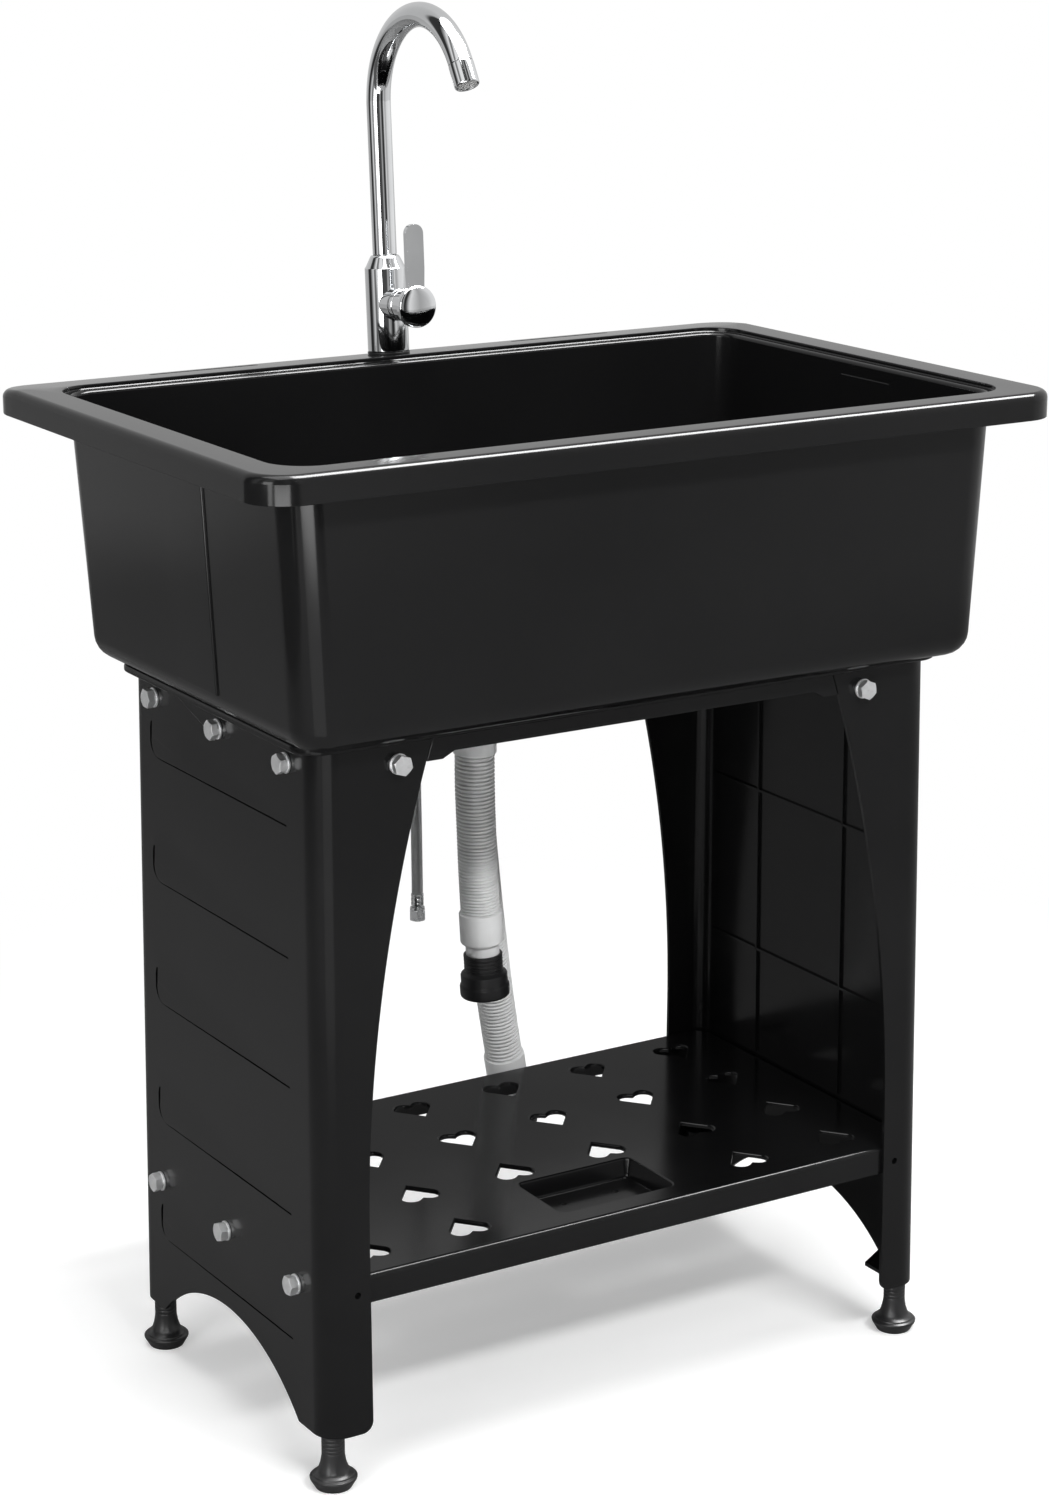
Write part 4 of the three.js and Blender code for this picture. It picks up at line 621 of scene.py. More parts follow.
supply_line = through(SUPPLY_ROUTE)
supply_length = lengths(supply_line)[-1]
stations = [supply_length * i / 150 for i in range(151)]
hose = lathe([(0, 0), *((SUPPLY_RADIUS, s) for s in stations), (0, supply_length)], 32)
hose = bend_along(wrap_map(hose, around=12, along=0.4), supply_line)
supply_hose = finished("supply_pipe", hose, braided_steel, ["supply_hose"], flat=False)

union_place = shift(9, 199, 323.2)
ferrule = lathe([(0, 0), (4.8, 0), (5.2, -0.4), (5.3, -0.9), (5.3, -2.6), (5.05, -3), (5.05, -3.8),
                 (5.3, -4.2), (5.3, -6.4), (5.05, -6.8), (5.05, -7.6), (5.3, -8), (5.3, -9.8),
                 (4.9, -10.4), (4.3, -11), (4.3, -14), (0, -14)])
supply_sleeve = finished("supply_crimp", ferrule, fitting_zinc, ["supply_ferrule"],
                         place=union_place)
nut = hexagon(12.6, -23.3, -14.3, [(0, -23.3), (6.4, -23.3), (7.4, -22.6), (7.4, -15), (6.4, -14.3),
                                   (0, -14.3)])
nut = fuse(nut, lathe([(0, -12), (6.1, -12), (6.1, -14.8), (0, -14.8)]))
hollow = gather(rod(4.6, -14.5, -11), rod(4.7, -25, -16.3))
supply_nut = finished("supply_nut", cut(nut, hollow), fitting_zinc,
                      ["supply_union"], place=union_place, bevel=0.25)
print(f"supply hose: {supply_length:.1f} mm")

# %% [markdown]
# ## The tub
#
# The tub is one moulding: a deep basin with walls that lean out a little, a rabbet round its
# mouth, a flat rim, and a skirt that folds down outside. Its section is walked in rings, up the
# outside, over the rim and down into the basin, and the rings are bridged. Modelled so, the wall
# has its real thickness everywhere. The deck behind the basin falls back by a few degrees: the
# mesh is cut across at the fold and everything behind it sinks.

# %% Sizes of the tub
TUB_BOTTOM = 573.3
TUB_WALL = 3.5
FLOOR_TOP = TUB_BOTTOM + TUB_WALL
RIM_HALF, RIM_FRONT, RIM_BACK = 339.3, 215.0, 240.0
RIM_CORNER, RIM_EDGE, SKIRT_DROP = 30.0, 6.0, 20.8
BASIN_HALF, BASIN_FRONT, BASIN_BACK = 301.4, 181.9, 188.0
BASIN_CORNER, BASIN_MOUTH, FLOOR_FILLET = 22.5, 3.0, 14.0
LEDGE_WIDTH, LEDGE_DEPTH = 8.0, 3.5
END_DRAFT, FRONT_DRAFT, BACK_DRAFT = (math.tan(math.radians(a)) for a in (3.1, 0.75, 2.6))


def basin_ring(bm, z, out, inset=0.0):
    drop = RIM_TOP - z
    grown = out - inset
    return add_ring(bm, BASIN_HALF - drop * END_DRAFT + grown,
                    BASIN_FRONT - drop * FRONT_DRAFT + grown,
                    BASIN_BACK - drop * BACK_DRAFT + grown, max(BASIN_CORNER + grown, 1), z)


def rim_ring(bm, z, inside):
    return add_ring(bm, RIM_HALF - inside, RIM_FRONT - inside, RIM_BACK - inside,
                    max(RIM_CORNER - inside, 2), z)


def quarter(radius, steps):
    """Inset and remaining height along a quarter round."""
    angles = [math.pi / 2 * i / steps for i in range(steps + 1)]
    return [(radius * (1 - math.cos(a)), radius * (1 - math.sin(a))) for a in angles]


# %% The tub's walls, rim and basin
tub = bmesh.new()
under_rim, skirt_bottom = RIM_TOP - TUB_WALL, RIM_TOP - SKIRT_DROP
ledge = RIM_TOP - LEDGE_DEPTH
rings = [basin_ring(tub, TUB_BOTTOM + a, TUB_WALL, b)
         for a, b in quarter(FLOOR_FILLET + TUB_WALL, 6)]
rings += [basin_ring(tub, under_rim - down, TUB_WALL + out)
          for down, out in ((9, 0), (5, 2), (0, LEDGE_WIDTH))]
rings += [rim_ring(tub, z, inside) for z, inside in (
    (under_rim, TUB_WALL + 1.5), (under_rim - 1.5, TUB_WALL), (skirt_bottom, TUB_WALL),
    (skirt_bottom, 0.7), (skirt_bottom + 0.2, 0.2), (skirt_bottom + 0.7, 0))]
rings += [rim_ring(tub, RIM_TOP - b, a) for a, b in quarter(RIM_EDGE, 7)]
rings += [basin_ring(tub, z, LEDGE_WIDTH + out) for z, out in (
    (RIM_TOP, 0.9), (RIM_TOP - 0.25, 0.25), (RIM_TOP - 0.9, 0), (ledge + 0.5, 0), (ledge, -0.5))]
rings += [basin_ring(tub, ledge - BASIN_MOUTH + BASIN_MOUTH * math.cos(t),
                     BASIN_MOUTH * (1 - math.sin(t)))
          for t in (math.pi / 8 * i for i in range(5))]
rings += [basin_ring(tub, FLOOR_TOP + a, 0, b) for a, b in reversed(quarter(FLOOR_FILLET, 6))]
skin(tub, rings)

# %% The deck behind the basin falls to the back
slice_at(tub, (0, DECK_START, 0), (0, 1, 0))
for vert in tub.verts:
    if vert.co.y > DECK_START and vert.co.z > skirt_bottom + 1:
        share = min((vert.co.z - skirt_bottom) / (SKIRT_DROP - TUB_WALL - 1.5), 1)
        vert.co.z -= (vert.co.y - DECK_START) * DECK_FALL * share

# %% [markdown]
# The end walls carry a flat raised panel each, a short groove runs down each front corner, and the
# deck has two shallow finger slots. The drain has a recess for the steel flange, and the tap a
# round hole.

# %% Raised panels, slots and holes of the tub
DRAIN_Y = 88.5
PANEL_PROUD = 1.2
CORNER_TURN = math.radians(38)
SLOT_X, SLOT_Y, SLOT_HALF, SLOT_SUNK = 165, 225, 45, 0.35
for side in (-1, 1):
    low, high = TUB_BOTTOM + FLOOR_FILLET + TUB_WALL, skirt_bottom + 6
    raised = block((-3, -50, low), (3, 14, high), PANEL_PROUD)
    for vert in raised.verts:
        face = BASIN_HALF - (RIM_TOP - vert.co.z) * END_DRAFT + TUB_WALL
        vert.co.x = side * (face - PANEL_PROUD + vert.co.x)
    tub = fuse(tub, outwards(raised))
    groove = block((-1.3, -0.9, RIM_TOP - 84), (1.3, 0.9, RIM_TOP - 12))
    for vert in groove.verts:
        drop = RIM_TOP - vert.co.z
        out, across = BASIN_CORNER + TUB_WALL + vert.co.x, vert.co.y
        vert.co.x = side * (BASIN_HALF - drop * END_DRAFT - BASIN_CORNER
                            + out * math.cos(CORNER_TURN) - across * math.sin(CORNER_TURN))
        vert.co.y = -(BASIN_FRONT - drop * FRONT_DRAFT - BASIN_CORNER
                      + out * math.sin(CORNER_TURN) + across * math.cos(CORNER_TURN))
    slot = bmesh.new()
    bmesh.ops.create_uvsphere(slot, u_segments=24, v_segments=12, radius=2.5)
    for vert in slot.verts:
        vert.co.x += math.copysign(SLOT_HALF, vert.co.x)
    bmesh.ops.scale(slot, vec=(1, 1, 0.5), verts=slot.verts)
    slot_z = RIM_TOP - (SLOT_Y - DECK_START) * DECK_FALL - SLOT_SUNK
    slot_place = shift(side * SLOT_X, SLOT_Y, slot_z) @ turn(-4.4, "X")
    tub = cut(tub, outwards(groove), move(slot, slot_place))
recess = at(FLOOR_TOP, (29, -1.2), (38.6, -1.2), (39, -0.4), (39.8, 0.4), (39.8, 5), (0, 5))
drain = lathe([(0, TUB_BOTTOM - 5), (29, TUB_BOTTOM - 5), *recess], 64)
tub = cut(tub, move(drain, shift(0, DRAIN_Y)), move(rod(11, -12, 12), tap_base))
finished("basin_and_rim", tub, tub_black, ["tub"], sharp=30)

# %% [markdown]
# ## The end panels
#
# Each end of the stand is a C-shaped panel: a flat end wall with two wings folded round its
# corners. The free edges of the wings run straight up from the foot and then sweep outwards in
# one long arc, and a low arch lets the panel stand on its feet alone. It starts as a tall
# rounded tube, half of which is cut away. Solidify gives it a wall, and half a big disc and a
# block cut the wings' edges.

# %% Sizes of the stand
PANEL_WALL, PANEL_CORNER = 3.0, 20.0
PANEL_BOTTOM, PANEL_TOP = 44.0, 566.7
UPPER_BOLT_Z, LOWER_BOLT_Z = 552.0, 155.0
UPPER_BOLT_Y, LOWER_BOLT_Y, WING_BOLT_X = 107.6, 114.2, 204.7
STAND_HALF_X, STAND_HALF_Y = 271.0, 151.6
SPLAY_X, SPLAY_Y = math.tan(math.radians(0.433)), math.tan(math.radians(0.736))
WING_X, WING_RADIUS, WING_START = 235, 1180, 200
ARCH_TOP, ARCH_RADIUS = 91, 164
FOOT_X, FOOT_Y = 261, 142.6


def panel_x(z):
    return STAND_HALF_X + (UPPER_BOLT_Z - z) * SPLAY_X


def panel_y(z):
    return STAND_HALF_Y + (UPPER_BOLT_Z - z) * SPLAY_Y


# %% One end panel's shell
def panel_shell():
    shell = bmesh.new()
    rings = [add_ring(shell, panel_x(z), panel_y(z), panel_y(z), PANEL_CORNER, z, 10)
             for z in (PANEL_BOTTOM, PANEL_TOP)]
    skin(shell, rings, ends=False)
    slice_at(shell, (-100, 0, 0), (1, 0, 0), clear_outer=True)
    end_wall = [f for f in shell.faces if abs(f.normal.x) > 0.9]
    if end_wall[0].normal.x > 0:
        bmesh.ops.reverse_faces(shell, faces=shell.faces)
    bmesh.ops.solidify(shell, geom=shell.faces[:], thickness=PANEL_WALL)
    outwards(shell)
    disc = bmesh.new()
    bmesh.ops.create_cone(disc, cap_ends=True, segments=512, radius1=WING_RADIUS,
                          radius2=WING_RADIUS, depth=500)
    move(disc, shift(WING_RADIUS - WING_X, 0, WING_START) @ turn(90, "X"))
    slice_at(disc, (0, 0, WING_START), (0, 0, -1), clear_outer=True)
    bmesh.ops.holes_fill(disc, edges=disc.edges)
    below = block((-WING_X, -250, 0), (0, 250, WING_START))
    arch = move(rod(ARCH_RADIUS, 0, 400, 160),
                shift(-100, 0, ARCH_TOP - ARCH_RADIUS) @ turn(-90, "Y"))
    spare = [move(rod(2.6, 100, 200, 16), shift(-245.9, 0, LOWER_BOLT_Z) @ turn(90 * s, "X"))
             for s in (-1, 1)]
    grooves = [louvre_groove(z) for z in LOUVRES]
    return cut(shell, *grooves, disc, below, gather(arch, *spare))


# %% [markdown]
# Five louvres stand out of each end wall. Each is a thin wedge, proud along its lower and rear
# edges and fading into the wall towards the front and the top. The outline is three corners with
# the lower rear one rounded. It is sliced along the fade, and each slice stands out a little more
# than the last, so the wedge leaves the wall without a crease. A narrow groove follows each
# louvre's lower edge and turns up behind it.

# %% A louvre, the inner ribs and the foot sockets
LOUVRES = [108.5 + i * 99.3 for i in range(5)]
LOUVRE_BACK, LOUVRE_LONG, LOUVRE_RISE, LOUVRE_PROUD = 113.0, 228.0, 44.0, 1.4
LOUVRE_FRONT, LOUVRE_ROUND = LOUVRE_BACK - LOUVRE_LONG, 11
GROOVE_WIDE, GROOVE_BEHIND, GROOVE_DEEP = 1.4, 4.2, 1.9


def louvre(z):
    bm = bmesh.new()
    corners = [bm.verts.new((0, y, h)) for y, h in (
        (LOUVRE_FRONT, z), (LOUVRE_BACK, z), (LOUVRE_BACK, z + LOUVRE_RISE))]
    bm.faces.new(corners)
    soften(bm, [corners[1]], LOUVRE_ROUND, 8, "VERTICES")
    for step in range(1, 8):
        slice_at(bm, (0, LOUVRE_BACK, z + LOUVRE_RISE * (1 - step / 8)),
                 (0, 1 / LOUVRE_LONG, -1 / LOUVRE_RISE))

    def fade(vert):
        return 1 - (LOUVRE_BACK - vert.co.y) / LOUVRE_LONG - (vert.co.z - z) / LOUVRE_RISE

    outer = set(pull(bm, (0, 0, 0)))
    for vert in bm.verts:
        proud = LOUVRE_PROUD * max(fade(vert), 0) ** 1.3 - 0.02
        vert.co.x = -panel_x(vert.co.z) - (proud if vert in outer else -PANEL_WALL / 2)
    outwards(bm)
    soften(bm, [e for e in bm.edges if outer.issuperset(e.verts) and sum(map(fade, e.verts)) > 0.3],
           0.7)
    return bm


def louvre_groove(z):
    """The narrow dark gap that follows a louvre's lower edge and turns up behind it."""
    inner = [(y, z + 0.1) for y in (LOUVRE_FRONT + 8, LOUVRE_BACK - LOUVRE_ROUND)]
    outer = [(y, z - GROOVE_WIDE) for y, _ in inner]
    for step in range(1, 7):
        a = math.pi / 2 * step / 6
        for line, along, down in ((inner, 10.9, 10.9), (outer, LOUVRE_ROUND + GROOVE_BEHIND,
                                                        LOUVRE_ROUND + GROOVE_WIDE)):
            line.append((LOUVRE_BACK - LOUVRE_ROUND + along * math.sin(a),
                         z + LOUVRE_ROUND - down * math.cos(a)))
    outer += [(LOUVRE_BACK + GROOVE_BEHIND, z + 21), (LOUVRE_BACK + GROOVE_BEHIND * 0.6, z + 26)]
    inner.append((LOUVRE_BACK - 0.1, z + 27))
    bm = prism(outer + inner[::-1], -GROOVE_DEEP, 3)
    for vert in bm.verts:
        y, height, out = vert.co
        vert.co = (-panel_x(height) - out, y, height)
    if bm.calc_volume(signed=True) < 0:
        bmesh.ops.reverse_faces(bm, faces=bm.faces)
    return bm


def panel_ribs():
    low, high = 171.8, 534.0
    reach = panel_y(low) - PANEL_CORNER
    shapes = [block((-4, y - 1, low), (4, y + 1, high)) for y in (-71, 47)]
    shapes += [block((-4, -reach, z - 1), (4, reach, z + 1)) for z in (265, 406)]
    for shape in shapes:
        for vert in shape.verts:
            deep = PANEL_WALL / 2 if vert.co.x < 0 else PANEL_WALL + 2.2
            vert.co.x = -panel_x(vert.co.z) + deep
    return shapes


def socket(side):
    foot = shift(-FOOT_X, side * FOOT_Y)
    outline = [(-274, 112.6), (-269, 112.6), (-240, 129.6), (-240, 151), (-262, 153), (-273, 146)]
    plate = prism([(x, side * y) for x, y in outline], 55, 58)
    return [move(tube(9.05, 11.45, 46, 77.3), foot), move(rod(9.5, 74.3, 77.3), foot),
            cut(plate, move(rod(9.05, 40, 60), foot))]


# %% Both end panels: one shape, the second turned half round
for name, angle in (("left", 0), ("right", 180)):
    panel = panel_shell()
    toe = [e for e in panel.edges if all(abs(v.co.x + WING_X) < 0.6
                                         and abs(v.co.z - PANEL_BOTTOM) < 0.6 for v in e.verts)]
    soften(panel, toe, 9, 6)
    bolt_holes = [move(rod(4.5, -10, 10, 20), shift(-panel_x(z), k * y, z) @ turn(90, "Y"))
                  for z, y in ((UPPER_BOLT_Z, UPPER_BOLT_Y), (LOWER_BOLT_Z, LOWER_BOLT_Y))
                  for k in (-1, 0, 1)]
    bolt_holes += [move(rod(4.5, -10, 10, 20),
                        shift(-WING_BOLT_X, k * STAND_HALF_Y, UPPER_BOLT_Z) @ turn(90, "X"))
                   for k in (-1, 1)]
    panel = cut(panel, gather(*bolt_holes))
    panel = gather(panel, *map(louvre, LOUVRES), *panel_ribs(), *socket(-1), *socket(1))
    finished(f"stand_end_{name}", panel, stand_black, [f"end_panel_{name}"],
             place=turn(angle, "Z"), bevel=0.7)

# %% [markdown]
# ## The upper frame
#
# The tub stands on a plate with one large opening, crossed by two bars. A skirt under the plate
# fits inside the end panels, and between the wings a rail comes out flush with them, with a step
# near each end. The plate pokes out a little all round and shows as a thin lip.

# %% Plate, skirt, rails and crossbars
FRAME_TOP, FRAME_PLATE = 573.0, 6.0
FRAME_UNDER = FRAME_TOP - FRAME_PLATE
SKIRT_GAP = 3.3
RAIL_LOW, RAIL_HIGH, RAIL_STEP = 550, 568, 5
STEP_START, STEP_END = 168, 158


def opening(wider, low, high):
    return slab(228 + wider, 118 + wider, 130 + wider, 15 + wider, (low, high))


def inside_panels(z, wall, radius, levels):
    """A block that fits inside the end panels at a height, less a wall."""
    half_x, half_y = panel_x(z) - SKIRT_GAP - wall, panel_y(z) - SKIRT_GAP - wall
    return slab(half_x, half_y, half_y, radius, levels)


def wing_edge(z):
    return WING_X - WING_RADIUS + math.sqrt(WING_RADIUS**2 - max(z - WING_START, 0) ** 2)


plate = bmesh.new()
half_x, half_y = panel_x(FRAME_UNDER) + 11, panel_y(FRAME_UNDER) + 3.5
skin(plate, [add_ring(plate, half_x - inset, half_y - inset, half_y - inset, 22 - inset, z)
             for inset, z in ((1, FRAME_UNDER), (0.3, FRAME_UNDER + 0.3), (0, FRAME_UNDER + 1),
                              (0, FRAME_TOP - 2), (0.3, FRAME_TOP - 1), (0.9, FRAME_TOP - 0.3),
                              (2, FRAME_TOP))])
plate = cut(plate, opening(0, 540, 580))
behind = wing_edge(536) + 4
ledge_line = [(-STEP_START, RAIL_LOW), (-STEP_END, RAIL_LOW + RAIL_STEP),
              (STEP_END, RAIL_LOW + RAIL_STEP), (STEP_START, RAIL_LOW)]
below = prism([(-behind, 520), (behind, 520), (behind, RAIL_LOW), *ledge_line[::-1],
               (-behind, RAIL_LOW)], -200, 200, upright=True)
skirt = cut(inside_panels(FRAME_UNDER, 0, 16.7, (536, FRAME_UNDER + 1)),
            inside_panels(FRAME_UNDER, 3, 13.7, (530, 570)), below)
low_end, high_end = (wing_edge(z) - 0.6 for z in (RAIL_LOW, RAIL_HIGH))
rail_line = [(-low_end, RAIL_LOW), *ledge_line, (low_end, RAIL_LOW), (high_end, RAIL_HIGH),
             (-high_end, RAIL_HIGH)]
rail_y = panel_y(FRAME_UNDER) - SKIRT_GAP - 3
rails = [prism(rail_line, *sorted((side * rail_y, side * STAND_HALF_Y)), upright=True)
         for side in (-1, 1)]
lip = cut(opening(3, 553, FRAME_UNDER + 1), opening(0, 540, 580))
bars = [block((x - 7, -119, 553), (x + 7, 131, 572.9)) for x in (-95, 95)]

# %% [markdown]
# Hexagonal bosses behind the walls hold the captive nuts of the bolts.

# %% Places of the sixteen bolts, and their bosses
BOLTS = {}
for end, side_x in (("left", -1), ("right", 1)):
    end_out, wing = Vector((side_x, 0, SPLAY_X)), side_x * WING_BOLT_X
    for where, side_y in (("front", -1), ("middle", 0), ("rear", 1)):
        for level, z, y in (("upper", UPPER_BOLT_Z, UPPER_BOLT_Y),
                            ("lower", LOWER_BOLT_Z, LOWER_BOLT_Y)):
            spot = Vector((side_x * panel_x(z), side_y * y, z))
            BOLTS[f"bolt_{end}_{level}_{where}"] = spot, end_out
    for where, side_y in (("front", -1), ("rear", 1)):
        BOLTS[f"bolt_wing_{where}_{end}"] = (Vector((wing, side_y * STAND_HALF_Y, UPPER_BOLT_Z)),
                                             Vector((0, side_y, SPLAY_Y)))


def on_bolt(name):
    at_wall, out = BOLTS[name]
    aim = Vector((0, 0, 1)).rotation_difference(out.normalized())
    return Matrix.Translation(at_wall) @ aim.to_matrix().to_4x4()


def bosses(names):
    return [move(cut(rod(15 / math.sqrt(3), -13.3, -5.3, 6), rod(4.3, -14, -5, 24)), on_bolt(name))
            for name in names]


upper_names = [name for name in BOLTS if "lower" not in name]
lower_names = [name for name in BOLTS if "lower" in name]
upper_frame = gather(plate, skirt, *rails, lip, *bars, *bosses(upper_names))
finished("stand_top_frame", upper_frame, stand_black, ["upper_frame"], bevel=0.6)

# %% [markdown]
# ## The shelf
#
# The shelf is a shallow tray turned upside down, pierced with rows of hearts that each have a
# collar below, and with a soap tray sunk into its front edge. The hearts' points all aim at the
# middle of the shelf. The soap tray is drawn as a dish fused below and a hollow with a soft mouth
# cut out from above.

# %% The shelf's slab and its soap tray
SHELF_TOP, SHELF_SKIRT = 167.8, 22.4
shelf_x, shelf_y = panel_x(SHELF_TOP) - SKIRT_GAP, panel_y(SHELF_TOP) - SKIRT_GAP
shelf_bottom = SHELF_TOP - SHELF_SKIRT
TRAY_X, TRAY_Y, TRAY_DEPTH = -1.0, -97.0, 15.0
shelf = bmesh.new()
skin(shelf, [add_ring(shelf, shelf_x - a, shelf_y - a, shelf_y - a, 17 - a / 2, z) for a, z in (
    (0, shelf_bottom), *((a, SHELF_TOP - b) for a, b in quarter(4.0, 6)))])
shelf = cut(shelf, inside_panels(SHELF_TOP, 3, 14, (shelf_bottom - 5, SHELF_TOP - 2.2)))


def tray(*rings):
    """A dish shape from pairs of how far each ring is out, and its height."""
    bm = bmesh.new()
    return skin(bm, [add_ring(bm, 52 + out, 33 + out, 33 + out, 6 + max(out, -3), z, 6)
                     for out, z in rings])


tray_floor = SHELF_TOP - TRAY_DEPTH
dish = tray(*at(tray_floor, (-3, -3), (0.4, -2), (0.8, 0)), (3, SHELF_TOP - 1))
shelf = fuse(shelf, move(dish, shift(TRAY_X, TRAY_Y)))
hollow = tray(*at(tray_floor, (-5, 0), (-3.4, 0.5), (-2.6, 2)),
              *at(SHELF_TOP, (-0.2, -1.8), (0.3, -0.7), (1.4, -0.1), (2, 0.02), (2, 3)))
tray_holes = [move(rod(3, -20, 4, 24), shift(x, 10, tray_floor)) for x in (-24, 24)]
shelf = cut(shelf, move(gather(hollow, *tray_holes), shift(TRAY_X, TRAY_Y)))


# %% The rows of hearts
HEART_WIDE, HEART_LONG = 31.5, 30.0
HOLE = at(SHELF_TOP, (0, -9), (0, -1.7), (0.15, -0.9), (0.6, -0.35), (1.2, -0.05), (1.5, 0.02),
          (1.5, 1))
COLLAR = at(SHELF_TOP, (1.6, -3.6), (1.6, -1))
HEART_ROWS, HEART_COLUMNS, ROW_PITCH, COLUMN_PITCH = 4, 6, 75, 86


def heart(x, y, tip, profile):
    """Two round lobes and two straight flanks; tip is its point's way along y."""
    lobe = HEART_WIDE / 4
    lobe_y = lobe - HEART_LONG / 2
    half = [(0, lobe_y - lobe * 0.5)]
    half += [(lobe + lobe * math.cos(math.radians(a)), lobe_y + lobe * math.sin(math.radians(a)))
             for a in range(-125, 40, 16)]
    outline = [*half, (0, HEART_LONG / 2), *((-a, b) for a, b in reversed(half[1:]))]
    bm = bmesh.new()
    rings = []
    for wider, z in profile:
        grow = 1 + wider / 13
        verts = [bm.verts.new((x + a * tip * grow, y + b * tip * grow, z)) for a, b in outline]
        rings.append([bm.edges.new(pair) for pair in zip(verts, [*verts[1:], verts[0]])])
    return skin(bm, rings)


cutters, collars = [], []
for row in range(HEART_ROWS):
    y = (row - (HEART_ROWS - 1) / 2) * ROW_PITCH
    for column in range(HEART_COLUMNS):
        x = (column - (HEART_COLUMNS - 1) / 2) * COLUMN_PITCH
        if row == 0 and abs(x - TRAY_X) < 52:
            continue
        tip = -1 if y > 0 else 1
        cutters.append(heart(x, y, tip, HOLE))
        collars.append(heart(x, y, tip, COLLAR))
shelf = cut(fuse(shelf, gather(*collars)), gather(*cutters))
shelf_ribs = [block((x - 1.2, front, shelf_bottom + 4), (x + 1.2, shelf_y - 2, SHELF_TOP - 1))
              for x, front in ((-172, 2 - shelf_y), (172, 2 - shelf_y), (0, -62))]
finished("stand_shelf", gather(shelf, *shelf_ribs, *bosses(lower_names)), stand_black, ["shelf"],
         bevel=0.5)

# %% [markdown]
# ## Feet and bolts
#
# The levelling feet are turned: a wide pad, a collar, and a column with coarse rings that goes up
# into its socket. A bolt is three pieces pulled together: a hexagon head with a round chamfer, a
# spring washer with its split, and a flat washer. The chamfer is what is left where the hexagon
# and a turned cone overlap.

# %% The four feet
foot_profile = [(0, 0), (13.2, 0), (13.8, 0.3), (17.6, 6.8), (17.9, 7.7), (17.9, 8.7), (17.4, 9.3),
                (15.9, 9.8), (15.5, 10.2), (15.5, 10.7), (15.1, 11.2), (12.6, 12.4), (11.6, 14.6),
                (10.6, 17.4), (9.8, 20), (9.2, 23.5), (8.75, 26)]
for ring_z in range(28, 72, 3):
    foot_profile += at(ring_z, (8.75, 0), (8.35, 0.4), (8.35, 0.9), (8.75, 1.3))
foot_profile += [(8.75, 73.4), (8.2, 74), (0, 74)]
for side, side_x in (("left", -1), ("right", 1)):
    for where, side_y in (("front", -1), ("rear", 1)):
        finished(f"levelling_foot_{where}_{side}_turned", lathe(foot_profile, 48), foot_black,
                 [f"foot_{where}_{side}"], f"levelling_foot_{where}_{side}",
                 place=shift(side_x * FOOT_X, side_y * FOOT_Y), sharp=50)


# %% The sixteen bolts
def bolt():
    head = hexagon(13.6, 3.5, 8.5, [(0, 3.5), (7.4, 3.5), (7.9, 3.9), (7.9, 7.9), (6.7, 8.5),
                                    (0, 8.5)])
    spring = cut(tube(4.1, 6.7, 1.7, 3.45), block((3, -0.35, 1.5), (8, 0.35, 4)))
    return gather(head, tube(4.1, 7.7, 0.3, 1.6), spring, rod(3.9, -17.9, 4, 32))


for number, name in enumerate(BOLTS):
    turned_by = turn((number * 37) % 60, "Z")
    finished(name + "_with_washers", bolt(), bolt_zinc, [name], place=on_bolt(name) @ turned_by,
             bevel=0.2)

# %% [markdown]
# ## The waste
#
# A pressed steel cup hangs through the drain with its flange in the recess of the floor, and a
# basket with a knob lifts out of it. Under the tub a rubber seal and a lugged nut clamp the cup,
# and a white fitting splits the waste over the two hoses.

# %% Cup, seal and nut
strainer = shift(0, DRAIN_Y)
CUP_BOTTOM = FLOOR_TOP - 28.5 - 1.6
cup = lathe([
    *at(FLOOR_TOP, (38, -0.9), (38, -0.1), (37.4, 0.35), (36.2, 0.6), (28.4, 0.6), (27.2, 0.3),
        (26.5, -0.4), (26.2, -1.4)),
    *at(CUP_BOTTOM, (26.2, 4.6), (25.7, 2.8), (24.4, 1.8), (23.2, 1.6), (15, 1.6), (15, -12),
        (18, -12), (18, 0), (25.8, 0), (27.2, 0.6), (27.8, 2)),
    (27.8, FLOOR_TOP - 0.9)], 64, closed=True)
finished("waste_cup", cup, strainer_steel, ["strainer_flange"], place=strainer)
seal_top = TUB_BOTTOM - 0.3
seal = lathe(at(seal_top, (28.1, -2), (35.4, -2), (36, -1.6), (36, -0.4), (35.4, 0), (28.1, 0)),
             64, closed=True)
finished("waste_seal", seal, black_rubber, ["strainer_seal"], place=strainer)
nut_top = seal_top - 2.3
lugs = round_about(4, lambda: block((33, -2.5, nut_top - 7), (40, 2.5, nut_top - 1), 0.6))
ring = lathe(at(nut_top, (28.1, -8), (33.9, -8), (34.5, -7.4), (34.5, -0.6), (33.9, 0), (28.1, 0)),
             64, closed=True)
finished("waste_nut", gather(ring, *lugs), white_plastic, ["strainer_nut"], place=strainer)

# %% The lift-out basket
rim, bottom = FLOOR_TOP + 0.9, FLOOR_TOP - 16
basket = lathe([
    *at(bottom, (0, 0), (19.4, 0), (22.4, 0.8), (24.2, 2.6), (24.8, 5)),
    *at(rim, (24.8, -1), (25.2, -0.2), (26.2, 0), (27.6, 0), (27.8, 0.4), (27.6, 0.9), (24.8, 1),
        (24, 0.6), (23.8, -0.4)),
    *at(bottom, (23.8, 5.5), (23.2, 3.2), (21.6, 1.7), (19.1, 1), (0, 1))], 64)
holes = []
for count, radius, size in ((6, 13.2, 2.0), (12, 18.2, 1.6), (5, 7.8, 1.5)):
    holes += round_about(count, lambda: rod(size, bottom - 2, bottom + 4, 16), shift(radius))
side_place = shift(0, 0, bottom + 8.6) @ turn(90, "Y")
holes += round_about(18, lambda: rod(1.4, 18, 30, 12), side_place, first=10)
